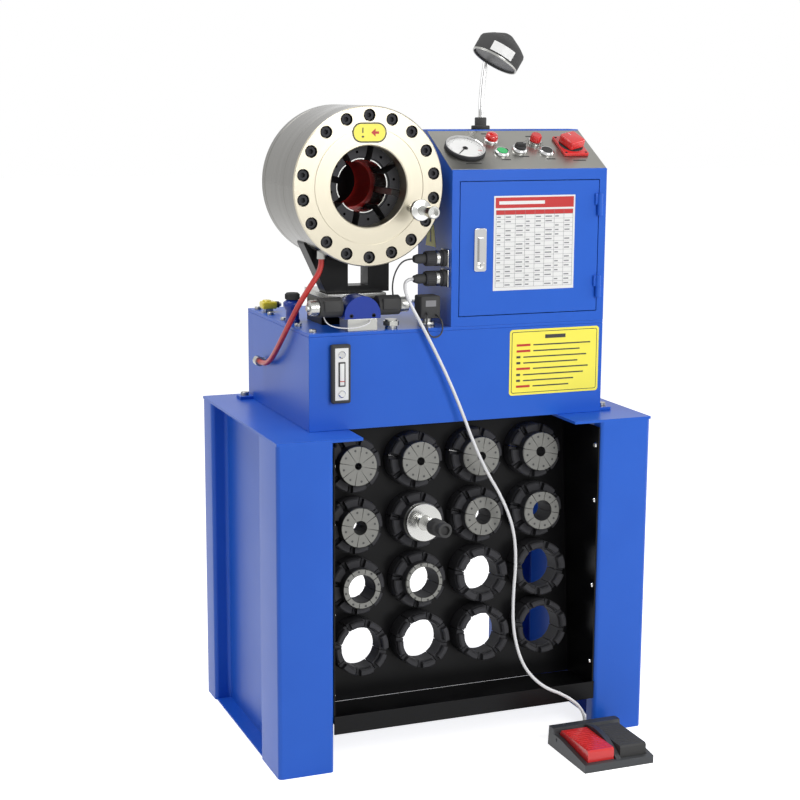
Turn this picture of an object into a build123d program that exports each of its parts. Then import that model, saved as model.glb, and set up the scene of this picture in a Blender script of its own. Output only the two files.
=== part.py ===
"""Hydraulic hose crimping machine on a die-rack stand, with a double foot pedal.

Units are millimetres.  X runs to the operator's right, Y to the rear, Z up from the floor.
X = 0 is the middle of the stand, and Y = 0 is half way from the pedal to the stand's rear.
"""
import os
from math import cos, degrees, radians, sin, tan

from build123d import *

MIN, MID, MAX = Align.MIN, Align.CENTER, Align.MAX
RUN = 0.05              # radial clearance of a running fit
GAP = 0.3               # clearance between pieces that move past each other
SEAT = 0.5              # radial clearance of a screw or spigot in its hole

# ---------------------------------------------------------------- stand
STAND_D = 484.0
SHEET = 3.0             # folded sheet of the stand, rack and cabinet
POST_W = 104.0          # front face of a post
FRONT_POST_D = 110.0
REAR_POST_D = 62.0
WEB_INSET = 32.0        # the side web stands this far inside the post's outer face
RETURN_D = 27.0         # fold behind the front face
TOP_FLANGE_W = 158.0
FOOT_FLANGE_W = 70.0
POST_R = 8.0            # outer radius of a fold
FLANGE_T = 5.0

# ---------------------------------------------------------------- foot pedal
PEDAL_W = 140.0
PEDAL_D = 150.0
PEDAL_GAP = 17.0        # pedal's rear to the stand's front plane
PEDAL_X = 227.0
PEDAL_BASE_T = 8.0
PEDAL_RIM_W = 9.0
PEDAL_REAR_H = 38.0
PEDAL_FRONT_H = 15.0
PEDAL_DIVIDER_W = 10.0
PADDLE_D = 112.0
PADDLE_H = 22.0
PADDLE_LIFT = 7.0       # gap under a paddle that its travel uses
PADDLE_PIN_R = 3.0

PEDAL_REACH = PEDAL_GAP + PEDAL_D
FRONT = (PEDAL_REACH - STAND_D) / 2         # Y of the stand's front plane
REAR = FRONT + STAND_D

# ---------------------------------------------------------------- die rack
RACK_LEAN = 5.5         # degrees the panel leans back
RACK_FOOT_Y = 103.0     # panel face behind the stand's front, at the shelf
SHELF_Z = 92.0
SHELF_LIP_UP = 12.0
SHELF_LIP_DOWN = 22.0
RACK_SCREW_R, RACK_SCREW_H = 5.0, 3.0
RACK_SCREW_BACK = 14.0  # behind the stand's front
RACK_TOP_CLEAR = 10.0   # rack top under the stand's top flange
DIE_PITCH_X = 122.0
DIE_PITCH_Z = 112.5
DIE_FIRST_UP = 105.0    # lowest die row above the shelf, along the panel
DIE_HOLE_R = 44.0       # opening in the panel behind a die set
DIE_BODY_R = 52.0
DIE_BODY_L = 36.0
DIE_NECK_R = 37.0
DIE_NECK_L = 20.0
DIE_SPLIT = 1.0         # angle left clear beside each stored die
DIE_SIDE_GAP = 26.0     # from the outer sets to the rack's sides
DIE_TOP_GAP = 10.83     # from the upper sets to the rack's top
COLUMNS = ROWS = 4
SEGMENTS = 8
SHELL_DIE_L = 48.0      # length of a set without a neck
DIE_BORES = [[6.0, 7.0, 8.0, 9.0], [12.5, 10.0, 15.0, 19.0], [25.5, 28.5, 34.0, 36.0],
             [37.0, 38.0, 37.0, 38.0]]
SHELL_DIE_BORE = 30.0   # sets with a larger bore have no front neck

# the die sets fix the rack's size, and the rack fixes the stand's
RACK_W2 = (COLUMNS - 1) * DIE_PITCH_X / 2 + DIE_BODY_R + DIE_SIDE_GAP
RACK_L = DIE_FIRST_UP + (ROWS - 1) * DIE_PITCH_Z + DIE_BODY_R + DIE_TOP_GAP
RACK_TOP = SHELF_Z + RACK_L * cos(radians(RACK_LEAN))
STAND_W = 2 * (RACK_W2 + POST_W)
STAND_H = RACK_TOP + RACK_TOP_CLEAR + FLANGE_T

# ---------------------------------------------------------------- oil tank
TANK_D = 375.0
TANK_H = 175.0
HEAD_OVERHANG = 25.0    # the head reaches this far past the tank's left end
TANK_SET_BACK = 75.0    # tank front behind the stand's front
TANK_WALL = 4.0
LID_T = 6.0
LUG_W, LUG_L, LUG_T = 30.0, 26.0, 6.0
GAUGE_W, GAUGE_H, GAUGE_T = 35.0, 105.0, 13.0
GAUGE_BOLTS = 70.0
GAUGE_IN = 56.5         # its middle from the tank's left end
GAUGE_UP = 103.0        # its middle above the tank's foot

TANK_Z0 = STAND_H
TANK_TOP = STAND_H + TANK_H
TANK_Y0 = FRONT + TANK_SET_BACK
TANK_Y1 = TANK_Y0 + TANK_D

# ---------------------------------------------------------------- crimping head
HEAD_R = 140.0
HEAD_X = -166.0
HEAD_UP = 254.0         # its axis above the tank's top
HEAD_SET_BACK = 82.0    # head front behind the stand's front
COVER_L = 56.0
CYLINDER_L = 130.0
MOUTH_R = 71.0
RECESS_L = 22.0
SCREWS = 18
SCREW_PCD = 247.0
SCREW_HEAD_R, SCREW_HEAD_L = 9.5, 11.0
COUNTERBORE_R, COUNTERBORE_L = 11.0, 14.0
BOLT_FACETS = 12        # sides of a screw head, kept few because there are so many
GROOVE_R, GROOVE_W = 101.0, 1.6
PISTON_R = 100.0
REAR_WALL = 28.0
SLEEVE_BORE_R = 42.0
SLEEVE_R = 50.0
SLEEVE_LIP_R, SLEEVE_LIP_L = 62.0, 6.0
SLEEVE_REACH = 50.0     # sleeve ahead of the rear wall
CONE_ANGLE = 20.0
DIE_TRAVEL = 14.0
MASTER_L = 72.0
MASTER_BORE_R = 32.5    # with the head closed
MASTER_FRONT_R = 72.0   # with the head closed
MASTER_TURN = 10.0      # angle of the first master die
PISTON_L = 82.0
PISTON_REST_GAP = 2.0   # oil gap behind the piston, head open
STOP_R, STOP_T = 62.0, 4.0      # plate that stops a hose behind the bore
STOP_BACK = 40.0        # behind the cylinder
STOP_ROD_R, STOP_ROD_UP, STOP_ARM_W = 6.0, 98.0, 30.0

HEAD_Z = TANK_TOP + HEAD_UP
TANK_X0 = HEAD_X - HEAD_R + HEAD_OVERHANG
GAUGE_X = TANK_X0 + GAUGE_IN
HEAD_Y0 = FRONT + HEAD_SET_BACK
HEAD_Y1 = HEAD_Y0 + COVER_L
HEAD_Y2 = HEAD_Y1 + CYLINDER_L
MASTER_Y0 = HEAD_Y1 - RECESS_L + GAP

# ---------------------------------------------------------------- head carrier and valve
PLATE_X0, PLATE_X1 = HEAD_X - 61.0, HEAD_X + 51.0
PLATE_Y0, PLATE_Y1 = HEAD_Y0 + 48.0, HEAD_Y0 + 180.0
PLATE_T = 10.0
PLATE_Z0 = HEAD_Z - HEAD_R - 63.0
BRACKET_X0, BRACKET_X1 = HEAD_X - 56.0, HEAD_X + 64.0
BRACKET_Y0, BRACKET_Y1 = HEAD_Y0 + 68.0, HEAD_Y0 + 108.0
BRACKET_TOP_Z = HEAD_Z - 104.0
BRACKET_FOOT_H = 12.0
BRACKET_SPREAD = 42.0   # how far the left leg leans out at its top
BRACKET_LEG_W = 41.0
PLINTH_INSET = 5.0
PLINTH_Y0 = HEAD_Y0 + 96.0
VALVE_X = HEAD_X - 12.0
VALVE_Y0, VALVE_D = HEAD_Y0, 44.0
SUBPLATE_W, SUBPLATE_H = 56.0, 22.0
VALVE_W, VALVE_H = 68.0, 40.0
COIL_R, COIL_L = 22.0, 42.0
COIL_NUT_R, COIL_NUT_L = 14.0, 22.0

# ---------------------------------------------------------------- control cabinet
HEAD_SIDE_GAP = 15.0    # from the head's rim to the cabinet
CAB_D = 160.0
CAB_FRONT_H = 280.0
PANEL_SLOPE = 29.7      # degrees of the sloped top
PANEL_L = 139.3
PANEL_T = 2.0
DOOR_SIDE = 16.0        # from each side of the cabinet to the door
DOOR_UP, DOOR_DOWN = 19.0, 20.0     # from the cabinet's foot, and under the panel's edge
DOOR_GAP = 1.5
DOOR_RETURN = 12.0
HINGE_R, HINGE_PIN_R, HINGE_L = 5.0, 2.5, 40.0
HINGE_UP = 45.0         # hinge middle from the door's end
LATCH_X, LATCH_W, LATCH_H = 39.5, 24.0, 78.0    # from the door's left edge to the middle
LATCH_T = 3.0
LEVER_W, LEVER_H, LEVER_T = 9.0, 44.0, 5.0

DIAL_R = 38.0
BEZEL_R = 14.8
STEM_R = 11.0
CAP_R = 10.0
SWITCH_W, SWITCH_L = 51.0, 62.0
KNOB_W, KNOB_H = 38.0, 17.0
SWITCH_SIDE = 18.5      # from the main switch's plate to the panel's right edge

# places on the sloped panel: from its left edge, and up the slope from its front edge
GAUGE_AT = (DIAL_R + 12.0, 70.0)
LAMP_AT = (GAUGE_AT[0] + DIAL_R + 26.0, 101.0)
GREEN_AT = (GAUGE_AT[0] + DIAL_R + 31.0, 58.0)
SELECTOR_AT = (GREEN_AT[0] + 40.0, 68.0)
TIMER_AT = (SELECTOR_AT[0] + 40.0, 91.0)
BLACK_AT = (SELECTOR_AT[0] + 51.0, 59.0)
SWITCH_AT = (BLACK_AT[0] + 56.0, 75.0)

# the panel's controls fix the cabinet's width, and head and cabinet fix the tank's
CAB_W = SWITCH_AT[0] + SWITCH_W / 2 + SWITCH_SIDE
CAB_X0 = HEAD_X + HEAD_R + HEAD_SIDE_GAP
CAB_X1 = CAB_X0 + CAB_W
TANK_X1 = CAB_X1
CAB_Y0 = TANK_Y0
CAB_Y1 = CAB_Y0 + CAB_D
CAB_Z1 = TANK_TOP + CAB_FRONT_H
CAB_TOP = CAB_Z1 + PANEL_L * sin(radians(PANEL_SLOPE))
ROOF_Y0 = CAB_Y0 + PANEL_L * cos(radians(PANEL_SLOPE))

# ---------------------------------------------------------------- work lamp
LAMP_X = CAB_X0 + 118.0
LAMP_Y = CAB_Y1 - 16.0
LAMP_BASE_R, LAMP_BASE_H = 17.5, 7.0
LAMP_STEM_R, LAMP_STEM_H = 11.0, 15.0
NECK_R = 5.0
SHADE_TILT = 31.5       # degrees the aperture leans from level


def block(x0, x1, y0, y1, z0, z1):
    """Return a box between two corners."""
    return Pos(x0, y0, z0) * Box(x1 - x0, y1 - y0, z1 - z0, align=(MIN, MIN, MIN))


def upright(x, y, z, radius, height):
    """Return a cylinder that stands on z."""
    return Pos(x, y, z) * Cylinder(radius, height, align=(MID, MID, MIN))


def along_y(x, y, z, radius, length):
    """Return a cylinder that runs back from y."""
    return Pos(x, y, z) * Rot(-90, 0, 0) * Cylinder(radius, length, align=(MID, MID, MIN))


def along_x(x, y, z, radius, length):
    """Return a cylinder that runs right from x."""
    return Pos(x, y, z) * Rot(0, 90, 0) * Cylinder(radius, length, align=(MID, MID, MIN))


def spun(points, axis=Axis.Z, angle=360.0):
    """Return the solid that an outline in the XZ plane sweeps about Z."""
    return revolve(make_face(Polyline(*[(r, 0, h) for r, h in points], close=True)), axis, angle)


def save(name, *shapes):
    """Write one sub-part, whose pieces stay separate solids."""
    solids = [solid for shape in shapes for solid in shape.solids()]
    part = solids[0] if len(solids) == 1 else Compound(children=solids)
    part.label = name
    export_step(part, f"parts/{name}.step")


# ================================================================ stand
def side_frame(side):
    """Return the folded side frame on one side, -1 left or 1 right."""
    half = STAND_W / 2
    web_x = half - WEB_INSET
    section = [
        (half - POST_W, FRONT + RETURN_D), (half - POST_W, FRONT), (half, FRONT),
        (half, FRONT + FRONT_POST_D), (web_x, FRONT + FRONT_POST_D),
        (web_x, REAR - REAR_POST_D), (half, REAR - REAR_POST_D), (half, REAR),
        (half - POST_W, REAR), (half - POST_W, REAR - RETURN_D),
    ]
    line = FilletPolyline(*section, radius=POST_R)
    body = extrude(make_face(offset(line, SHEET, side=Side.LEFT)), STAND_H - FLANGE_T)
    top = block(half - TOP_FLANGE_W, half, FRONT, REAR, STAND_H - FLANGE_T, STAND_H)
    foot = block(half - FOOT_FLANGE_W, half - SHEET, FRONT + SHEET, REAR - SHEET, 0, SHEET)
    frame = body + top + foot
    return frame if side > 0 else mirror(frame, Plane.YZ)


save("left_side_frame", side_frame(-1))
save("right_side_frame", side_frame(1))

# ================================================================ foot pedal
PEDAL_X0, PEDAL_X1 = PEDAL_X - PEDAL_W / 2, PEDAL_X + PEDAL_W / 2
PEDAL_Y0, PEDAL_Y1 = FRONT - PEDAL_REACH, FRONT - PEDAL_GAP
HOOD_D = 24.0
PEDAL_GLAND_X, PEDAL_GLAND_Z, PEDAL_GLAND_R = PEDAL_X + 13.0, 22.0, 6.0
POCKET_Y0 = PEDAL_Y0 + PEDAL_RIM_W
POCKET_Y1 = PEDAL_Y1 - HOOD_D
PADDLE_Z0 = PEDAL_BASE_T + PADDLE_LIFT
PIN_Y = POCKET_Y1 - 12.0
PIN_Z = PADDLE_Z0 + 6.0
WALL_REAR_H = PIN_Z + 7.0
PADDLE_W = (PEDAL_W - 2 * PEDAL_RIM_W - PEDAL_DIVIDER_W) / 2 - 3.0
PADDLE_TURN = degrees((PADDLE_LIFT - 1.0) / (PIN_Y - POCKET_Y0))


def pedal_housing():
    """Return the cast guard: a low rim, a rear hood and an arched divider."""
    side = Polyline((PEDAL_Y0, 0), (PEDAL_Y0, PEDAL_FRONT_H), (PIN_Y - 12, WALL_REAR_H),
                    (POCKET_Y1, WALL_REAR_H), (POCKET_Y1 + 2, PEDAL_REAR_H),
                    (PEDAL_Y1 - 4, PEDAL_REAR_H), (PEDAL_Y1, 0), close=True)
    body = extrude(Plane.YZ.offset(PEDAL_X0) * make_face(side), PEDAL_W)
    for x0 in (PEDAL_X0 + PEDAL_RIM_W, PEDAL_X + PEDAL_DIVIDER_W / 2):
        width = PADDLE_W + 3.0
        body -= block(x0, x0 + width, POCKET_Y0, POCKET_Y1, PEDAL_BASE_T, PEDAL_REAR_H + 1)
    crown = ((PEDAL_Y0 + PEDAL_Y1) / 2, PEDAL_REAR_H + 5)
    arch = Polyline((PEDAL_Y1 - HOOD_D, PEDAL_REAR_H), (PEDAL_Y1 - HOOD_D, PEDAL_BASE_T),
                    (PEDAL_Y0 + 2, PEDAL_BASE_T), (PEDAL_Y0 + 2, PEDAL_FRONT_H))
    arch += ThreePointArc((PEDAL_Y0 + 2, PEDAL_FRONT_H), crown, (PEDAL_Y1 - HOOD_D, PEDAL_REAR_H))
    half = PEDAL_DIVIDER_W / 2
    body += extrude(Plane.YZ.offset(PEDAL_X - half) * make_face(arch), PEDAL_DIVIDER_W)
    body -= along_x(PEDAL_X0 - 1, PIN_Y, PIN_Z, PADDLE_PIN_R + RUN, PEDAL_W + 2)
    return body + along_y(PEDAL_GLAND_X, PEDAL_Y1 - 6, PEDAL_GLAND_Z, PEDAL_GLAND_R, 6.0)


def paddle(side):
    """Return one foot paddle, -1 left or 1 right."""
    middle = PEDAL_X + side * (PEDAL_DIVIDER_W / 2 + 1.5 + PADDLE_W / 2)
    front = POCKET_Y0 + 1.5
    rear = POCKET_Y1 - 2.0
    side_view = Polyline((front, PADDLE_Z0), (front, PADDLE_Z0 + PADDLE_H - 3),
                         (front + 3, PADDLE_Z0 + PADDLE_H), (rear - 8, PADDLE_Z0 + PADDLE_H),
                         (rear, PADDLE_Z0 + 9), (rear, PADDLE_Z0), close=True)
    solid = extrude(Plane.YZ.offset(middle - PADDLE_W / 2) * make_face(side_view), PADDLE_W)
    return solid - along_x(PEDAL_X0, PIN_Y, PIN_Z, PADDLE_PIN_R + RUN, PEDAL_W)


save("pedal_housing", pedal_housing(), along_x(PEDAL_X0 + 1, PIN_Y, PIN_Z, PADDLE_PIN_R, PEDAL_W - 2))
save("red_paddle", paddle(-1))
save("black_paddle", paddle(1))

# ================================================================ die rack
RACK_Y = FRONT + RACK_FOOT_Y
LEAN = radians(RACK_LEAN)
RACK = Plane(origin=(0, RACK_Y, SHELF_Z), x_dir=(1, 0, 0), z_dir=(0, -cos(LEAN), sin(LEAN)))
DIE_PLACES = [[((column - (COLUMNS - 1) / 2) * DIE_PITCH_X, DIE_FIRST_UP + (ROWS - 1 - row) * DIE_PITCH_Z)
               for column in range(COLUMNS)] for row in range(ROWS)]


RACK_SCREW_ZS = (SHELF_Z + 48, SHELF_Z + 198, RACK_TOP - 140, RACK_TOP - 35)


def on_rack(x, up, out, shape):
    """Place a shape on the leaning panel, with its Z axis off the panel."""
    return RACK.location * Pos(x, up, out) * shape


def die_rack():
    """Return the leaning panel, open behind each die set, and its two side plates."""
    panel = Box(2 * RACK_W2, RACK_L, SHEET, align=(MID, MIN, MAX))
    hole = extrude(RegularPolygon(DIE_HOLE_R, BOLT_FACETS), -SHEET)
    for row in DIE_PLACES:
        for x, up in row:
            panel -= Pos(x, up, 0) * hole
    body = RACK.location * panel
    rear_top = RACK_Y + (RACK_TOP - SHELF_Z) * tan(LEAN)
    cheek = Polyline((FRONT + SHEET, SHELF_Z), (RACK_Y, SHELF_Z), (rear_top, RACK_TOP),
                     (FRONT + SHEET, RACK_TOP), close=True)
    for x0 in (-RACK_W2, RACK_W2 - SHEET):
        body += extrude(Plane.YZ.offset(x0) * make_face(cheek), SHEET)
    return body


def rack_shelf():
    """Return the tray under the rack, with a front lip."""
    front = FRONT + SHEET
    tray = block(-RACK_W2, RACK_W2, front, RACK_Y, SHELF_Z - SHEET, SHELF_Z)
    lip_z0, lip_z1 = SHELF_Z - SHELF_LIP_DOWN, SHELF_Z + SHELF_LIP_UP
    return tray + block(-RACK_W2, RACK_W2, front - SHEET, front, lip_z0, lip_z1)


def rack_screws():
    """Return the screw heads inside the side plates."""
    head = Rot(0, 90, 0) * extrude(RegularPolygon(RACK_SCREW_R, BOLT_FACETS), RACK_SCREW_H)
    return [Pos(x, FRONT + RACK_SCREW_BACK, z) * head for x in (SHEET - RACK_W2, RACK_W2 - SHEET - RACK_SCREW_H)
            for z in RACK_SCREW_ZS]


def die_sector(inner, outer, foot, length):
    """Return one eighth of a ring, whose outer face has two flats."""
    half = 180 / SEGMENTS - DIE_SPLIT
    corners = [(outer, -half), (outer, 0), (outer, half), (inner, half), (inner, -half)]
    points = [(r * cos(radians(turn)), r * sin(radians(turn))) for r, turn in corners]
    return Pos(0, 0, foot) * extrude(make_face(Polyline(*points, close=True)), length)


def die_set(bore):
    """Return the eight dies of one set, with a neck unless the bore is too large for it."""
    if bore > SHELL_DIE_BORE:
        die = die_sector(bore, DIE_BODY_R, 0, SHELL_DIE_L)
    else:
        die = die_sector(bore, DIE_BODY_R, 0, DIE_BODY_L)
        die += die_sector(bore, DIE_NECK_R, DIE_BODY_L, DIE_NECK_L)
    return [Rot(0, 0, MASTER_TURN + turn * 360 / SEGMENTS) * die for turn in range(SEGMENTS)]


save("die_rack", die_rack())
save("rack_shelf", rack_shelf())
stored = [on_rack(x, up, 0, die) for places, bores in zip(DIE_PLACES, DIE_BORES)
          for (x, up), bore in zip(places, bores) for die in die_set(bore)]
save("stored_dies", *stored)

TOOL_DISC_R, TOOL_DISC_T = 35.0, 10.0
TOOL_ROD_R, TOOL_ROD_L = 12.0, 44.0
GRIP_R, GRIP_L, GRIP_END_R, GRIP_END_L = 15.5, 34.0, 13.5, 18.0


def quick_change_tool():
    """Return the die pick-up tool: magnet disc, rod and grip along Z."""
    end = TOOL_DISC_T + TOOL_ROD_L
    profile = [(0, 0), (TOOL_DISC_R, 0), (TOOL_DISC_R, TOOL_DISC_T), (TOOL_ROD_R, TOOL_DISC_T),
               (TOOL_ROD_R, end), (GRIP_R, end), (GRIP_END_R - 4, end + GRIP_L),
               (GRIP_END_R, end + GRIP_L + GRIP_END_L), (0, end + GRIP_L + GRIP_END_L)]
    return spun(profile)


tool_x, tool_up = DIE_PLACES[1][1]
save("quick_change_tool", on_rack(tool_x, tool_up, DIE_BODY_L + DIE_NECK_L + GAP, quick_change_tool()))

# ================================================================ oil tank
LID_Z = TANK_TOP - LID_T
LUG_PLACES = [(1, TANK_Y0 + 6), (1, TANK_Y1 - 32), (-1, TANK_Y1 - 32)]
LID_EDGE = 14.0         # from the lid's ends to its screws
LID_PITCH = (TANK_D - 43.0) / 4
LID_SCREWS = [(TANK_X0 + LID_EDGE, TANK_Y0 + 20 + LID_PITCH * step) for step in range(5)]
LID_SCREWS += [(TANK_X0 + LID_EDGE + 110 * step, TANK_Y1 - 20) for step in (1, 2, 3)]
LID_SCREWS += [(TANK_X1 - LID_EDGE, TANK_Y1 - 20 - 95 * step) for step in range(2)]


def hex_head(x, y, z, flats, height):
    """Return a hexagon head that stands on z."""
    outline = Pos(x, y) * RegularPolygon(flats / 2, 6, major_radius=False)
    return extrude(Plane.XY.offset(z) * outline, height)


def oil_tank():
    """Return the welded tank, open under its lid, with three fixing lugs."""
    body = block(TANK_X0, TANK_X1, TANK_Y0, TANK_Y1, TANK_Z0, LID_Z)
    wall = TANK_WALL
    body -= block(TANK_X0 + wall, TANK_X1 - wall, TANK_Y0 + wall, TANK_Y1 - wall, TANK_Z0 + wall, LID_Z)
    rim = block(TANK_X0 + wall, TANK_X1 - wall, TANK_Y0 + wall, TANK_Y1 - wall, LID_Z - 8, LID_Z)
    inset = wall + 20
    rim -= block(TANK_X0 + inset, TANK_X1 - inset, TANK_Y0 + inset, TANK_Y1 - inset, LID_Z - 9, LID_Z)
    body += rim
    for side, y in LUG_PLACES:
        x = TANK_X1 if side > 0 else TANK_X0 - LUG_L
        body += block(x, x + LUG_L, y, y + LUG_W, TANK_Z0, TANK_Z0 + LUG_T)
    return body


def tank_lid():
    """Return the lid plate, open where the pump hangs through it."""
    lid = block(TANK_X0, TANK_X1, TANK_Y0, TANK_Y1, LID_Z, TANK_TOP)
    return lid - upright(MOTOR_X, MOTOR_Y, LID_Z, PUMP_R + SEAT, LID_T)


def tank_bolts():
    """Return the heads of the lid screws and the lug bolts."""
    heads = [hex_head(x, y, TANK_TOP, 13.0, 5.5) for x, y in LID_SCREWS]
    for side, y in LUG_PLACES:
        x = TANK_X1 + LUG_L / 2 if side > 0 else TANK_X0 - LUG_L / 2
        heads.append(hex_head(x, y + LUG_W / 2, TANK_Z0 + LUG_T, 16.0, 7.0))
    return heads


GAUGE_Z = TANK_Z0 + GAUGE_UP
WINDOW_W, WINDOW_H = 13.0, 48.0


def level_gauge_body():
    """Return the sight gauge's frame, with its window slot and two hollow bolts."""
    face = Plane(origin=(GAUGE_X, TANK_Y0, GAUGE_Z), x_dir=(1, 0, 0), z_dir=(0, -1, 0))
    frame = extrude(face * RectangleRounded(GAUGE_W, GAUGE_H, 6), GAUGE_T)
    frame -= extrude(face.offset(3) * SlotOverall(WINDOW_H, WINDOW_W, rotation=90), GAUGE_T)
    for side in (-1, 1):
        bolt = Pos(0, side * GAUGE_BOLTS / 2, GAUGE_T) * Cylinder(6.5, 4, align=(MID, MID, MIN))
        frame += face.location * bolt
    return frame


def level_gauge_glass():
    """Return the sight glass in the gauge's slot."""
    face = Plane(origin=(GAUGE_X, TANK_Y0 - 3, GAUGE_Z), x_dir=(1, 0, 0), z_dir=(0, -1, 0))
    return extrude(face * SlotOverall(WINDOW_H - 0.2, WINDOW_W - 0.2, rotation=90), GAUGE_T - 4.5)


MOTOR_R, MOTOR_H = 80.0, 235.0
MOTOR_X, MOTOR_Y = TANK_X1 - MOTOR_R - 59.0, CAB_Y1 + MOTOR_R + 27.0
MOTOR_FLANGE_R, MOTOR_FLANGE_T = 82.0, 14.0
MOTOR_FINS = 16
FAN_COVER_H = 45.0
FIN_L, FIN_T, FIN_ROOT = 12.0, 4.0, 2.0
PUMP_R, PUMP_L = 45.0, 105.0
STRAINER_R, STRAINER_L = 22.0, 35.0


def motor():
    """Return the vertical motor on the tank lid: flange, finned frame, fan cover, box."""
    z = TANK_TOP
    body = upright(MOTOR_X, MOTOR_Y, z, MOTOR_FLANGE_R, MOTOR_FLANGE_T)
    body += upright(MOTOR_X, MOTOR_Y, z + MOTOR_FLANGE_T, MOTOR_R - FIN_L + FIN_ROOT, MOTOR_H)
    fin = Pos(MOTOR_R - FIN_L, 0, 0) * Box(FIN_L, FIN_T, MOTOR_H, align=(MIN, MID, MIN))
    for turn in range(MOTOR_FINS):
        body += Pos(MOTOR_X, MOTOR_Y, z + MOTOR_FLANGE_T) * Rot(0, 0, turn * 360 / MOTOR_FINS) * fin
    body += upright(MOTOR_X, MOTOR_Y, z + MOTOR_FLANGE_T + MOTOR_H, MOTOR_R, FAN_COVER_H)
    return body


def pump():
    """Return the gear pump that hangs in the oil under the motor, with its strainer."""
    z = TANK_TOP - PUMP_L
    body = upright(MOTOR_X, MOTOR_Y, z, PUMP_R, PUMP_L)
    return body + upright(MOTOR_X, MOTOR_Y, z - STRAINER_L, STRAINER_R, STRAINER_L)


save("oil_tank", oil_tank())
save("tank_lid", tank_lid())
save("frame_screws", *rack_screws(), *tank_bolts())
save("level_gauge", level_gauge_body(), level_gauge_glass())
save("motor", motor())
save("pump", pump())

FILLER_X, FILLER_Y = TANK_X0 + 21.5, TANK_Y0 + 1.5 * LID_PITCH + 34.5
FILLER_R, FILLER_H, CAP_H = 14.0, 42.0, 12.0
FLOAT_X0, FLOAT_Y0 = TANK_X0 + 6.0, TANK_Y0 + 3 * LID_PITCH + 44.0
FLOAT_W, FLOAT_D, FLOAT_H = 29.0, 26.0, 17.0
FLOAT_STEM_W, FLOAT_STEM_D, FLOAT_STEM_H = 15.0, 16.0, 7.0
FLOAT_NUT_R, FLOAT_NUT_L = 6.0, 11.0


def filler_neck():
    """Return the filler's neck, with a wider collar under the cap."""
    profile = [(0, 0), (FILLER_R, 0), (FILLER_R - 2, 22), (FILLER_R + 3, 31), (FILLER_R + 3, 36),
               (FILLER_R - 4, FILLER_H), (0, FILLER_H)]
    return Pos(FILLER_X, FILLER_Y, TANK_TOP) * spun(profile)


def filler_cap():
    """Return the filler's black cap."""
    return upright(FILLER_X, FILLER_Y, TANK_TOP + FILLER_H + GAP, FILLER_R, CAP_H)


def float_switch():
    """Return the yellow float-switch housing, its stem and its cable nut."""
    x0, x1, y0, z0 = FLOAT_X0, FLOAT_X0 + FLOAT_W, FLOAT_Y0, TANK_TOP + FLOAT_STEM_H
    body = block(x0, x1, y0, y0 + FLOAT_D, z0, z0 + FLOAT_H)
    stem_x, stem_y = x0 + (FLOAT_W - FLOAT_STEM_W) / 2, y0 + (FLOAT_D - FLOAT_STEM_D) / 2
    body += block(stem_x, stem_x + FLOAT_STEM_W, stem_y, stem_y + FLOAT_STEM_D, TANK_TOP, z0)
    return body + along_x(x1, y0 + FLOAT_D / 2, z0 + FLOAT_H / 2, FLOAT_NUT_R, FLOAT_NUT_L)


save("filler_neck", filler_neck())
save("filler_cap", filler_cap())
save("float_switch", float_switch())

# ================================================================ crimping head
SCREW_ANGLES = [90 + 360 / SCREWS * step for step in range(SCREWS)]
CONE = tan(radians(CONE_ANGLE))


def in_head(y, shape):
    """Place a shape on the head's axis, its Z axis to the rear and its foot at y."""
    return Plane(origin=(HEAD_X, y, HEAD_Z), x_dir=(1, 0, 0), z_dir=(0, 1, 0)).location * shape


def ring(outer, inner, length):
    """Return a ring that stands on the XY plane."""
    return spun([(inner, 0), (outer, 0), (outer, length), (inner, length)])


def head_front_cover():
    """Return the front cover: mouth, rear recess, groove and counterbored screw holes."""
    cover = ring(HEAD_R, MOUTH_R, COVER_L)
    cover = chamfer(cover.edges().filter_by(GeomType.CIRCLE).group_by(Axis.Z)[0], 2.0)
    cover -= Pos(0, 0, COVER_L - RECESS_L) * Cylinder(PISTON_R + GAP, RECESS_L, align=(MID, MID, MIN))
    cover -= ring(GROOVE_R + GROOVE_W / 2, GROOVE_R - GROOVE_W / 2, GROOVE_W)
    for angle in SCREW_ANGLES:
        sink = extrude(RegularPolygon(COUNTERBORE_R, BOLT_FACETS), COUNTERBORE_L)
        cover -= Rot(0, 0, angle) * Pos(SCREW_PCD / 2, 0, 0) * sink
    return in_head(HEAD_Y0, cover)


def head_screws():
    """Return the socket screws' heads on the counterbore floors."""
    head = extrude(RegularPolygon(SCREW_HEAD_R, BOLT_FACETS), -SCREW_HEAD_L)
    return [in_head(HEAD_Y0 + COUNTERBORE_L, Rot(0, 0, angle) * Pos(SCREW_PCD / 2, 0, 0) * head)
            for angle in SCREW_ANGLES]


def head_cylinder():
    """Return the cylinder: a bore for the piston and a rear wall that holds the sleeve."""
    depth = CYLINDER_L - REAR_WALL
    profile = [(PISTON_R + RUN, 0), (HEAD_R, 0), (HEAD_R, CYLINDER_L - 2), (HEAD_R - 2, CYLINDER_L),
               (SLEEVE_R + RUN, CYLINDER_L), (SLEEVE_R + RUN, depth), (PISTON_R + RUN, depth)]
    return in_head(HEAD_Y1, spun(profile))


def piston_cone():
    """Return the annular piston, whose cone drives the master dies inward."""
    front = HEAD_Y2 - REAR_WALL - PISTON_REST_GAP - PISTON_L
    open_r = MASTER_FRONT_R + DIE_TRAVEL + GAP - (front - MASTER_Y0) * CONE
    bore = SLEEVE_R + RUN
    profile = [(open_r, 0), (PISTON_R, 0), (PISTON_R, PISTON_L), (bore, PISTON_L),
               (bore, (open_r - bore) / CONE)]
    return in_head(front, spun(profile))


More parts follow.
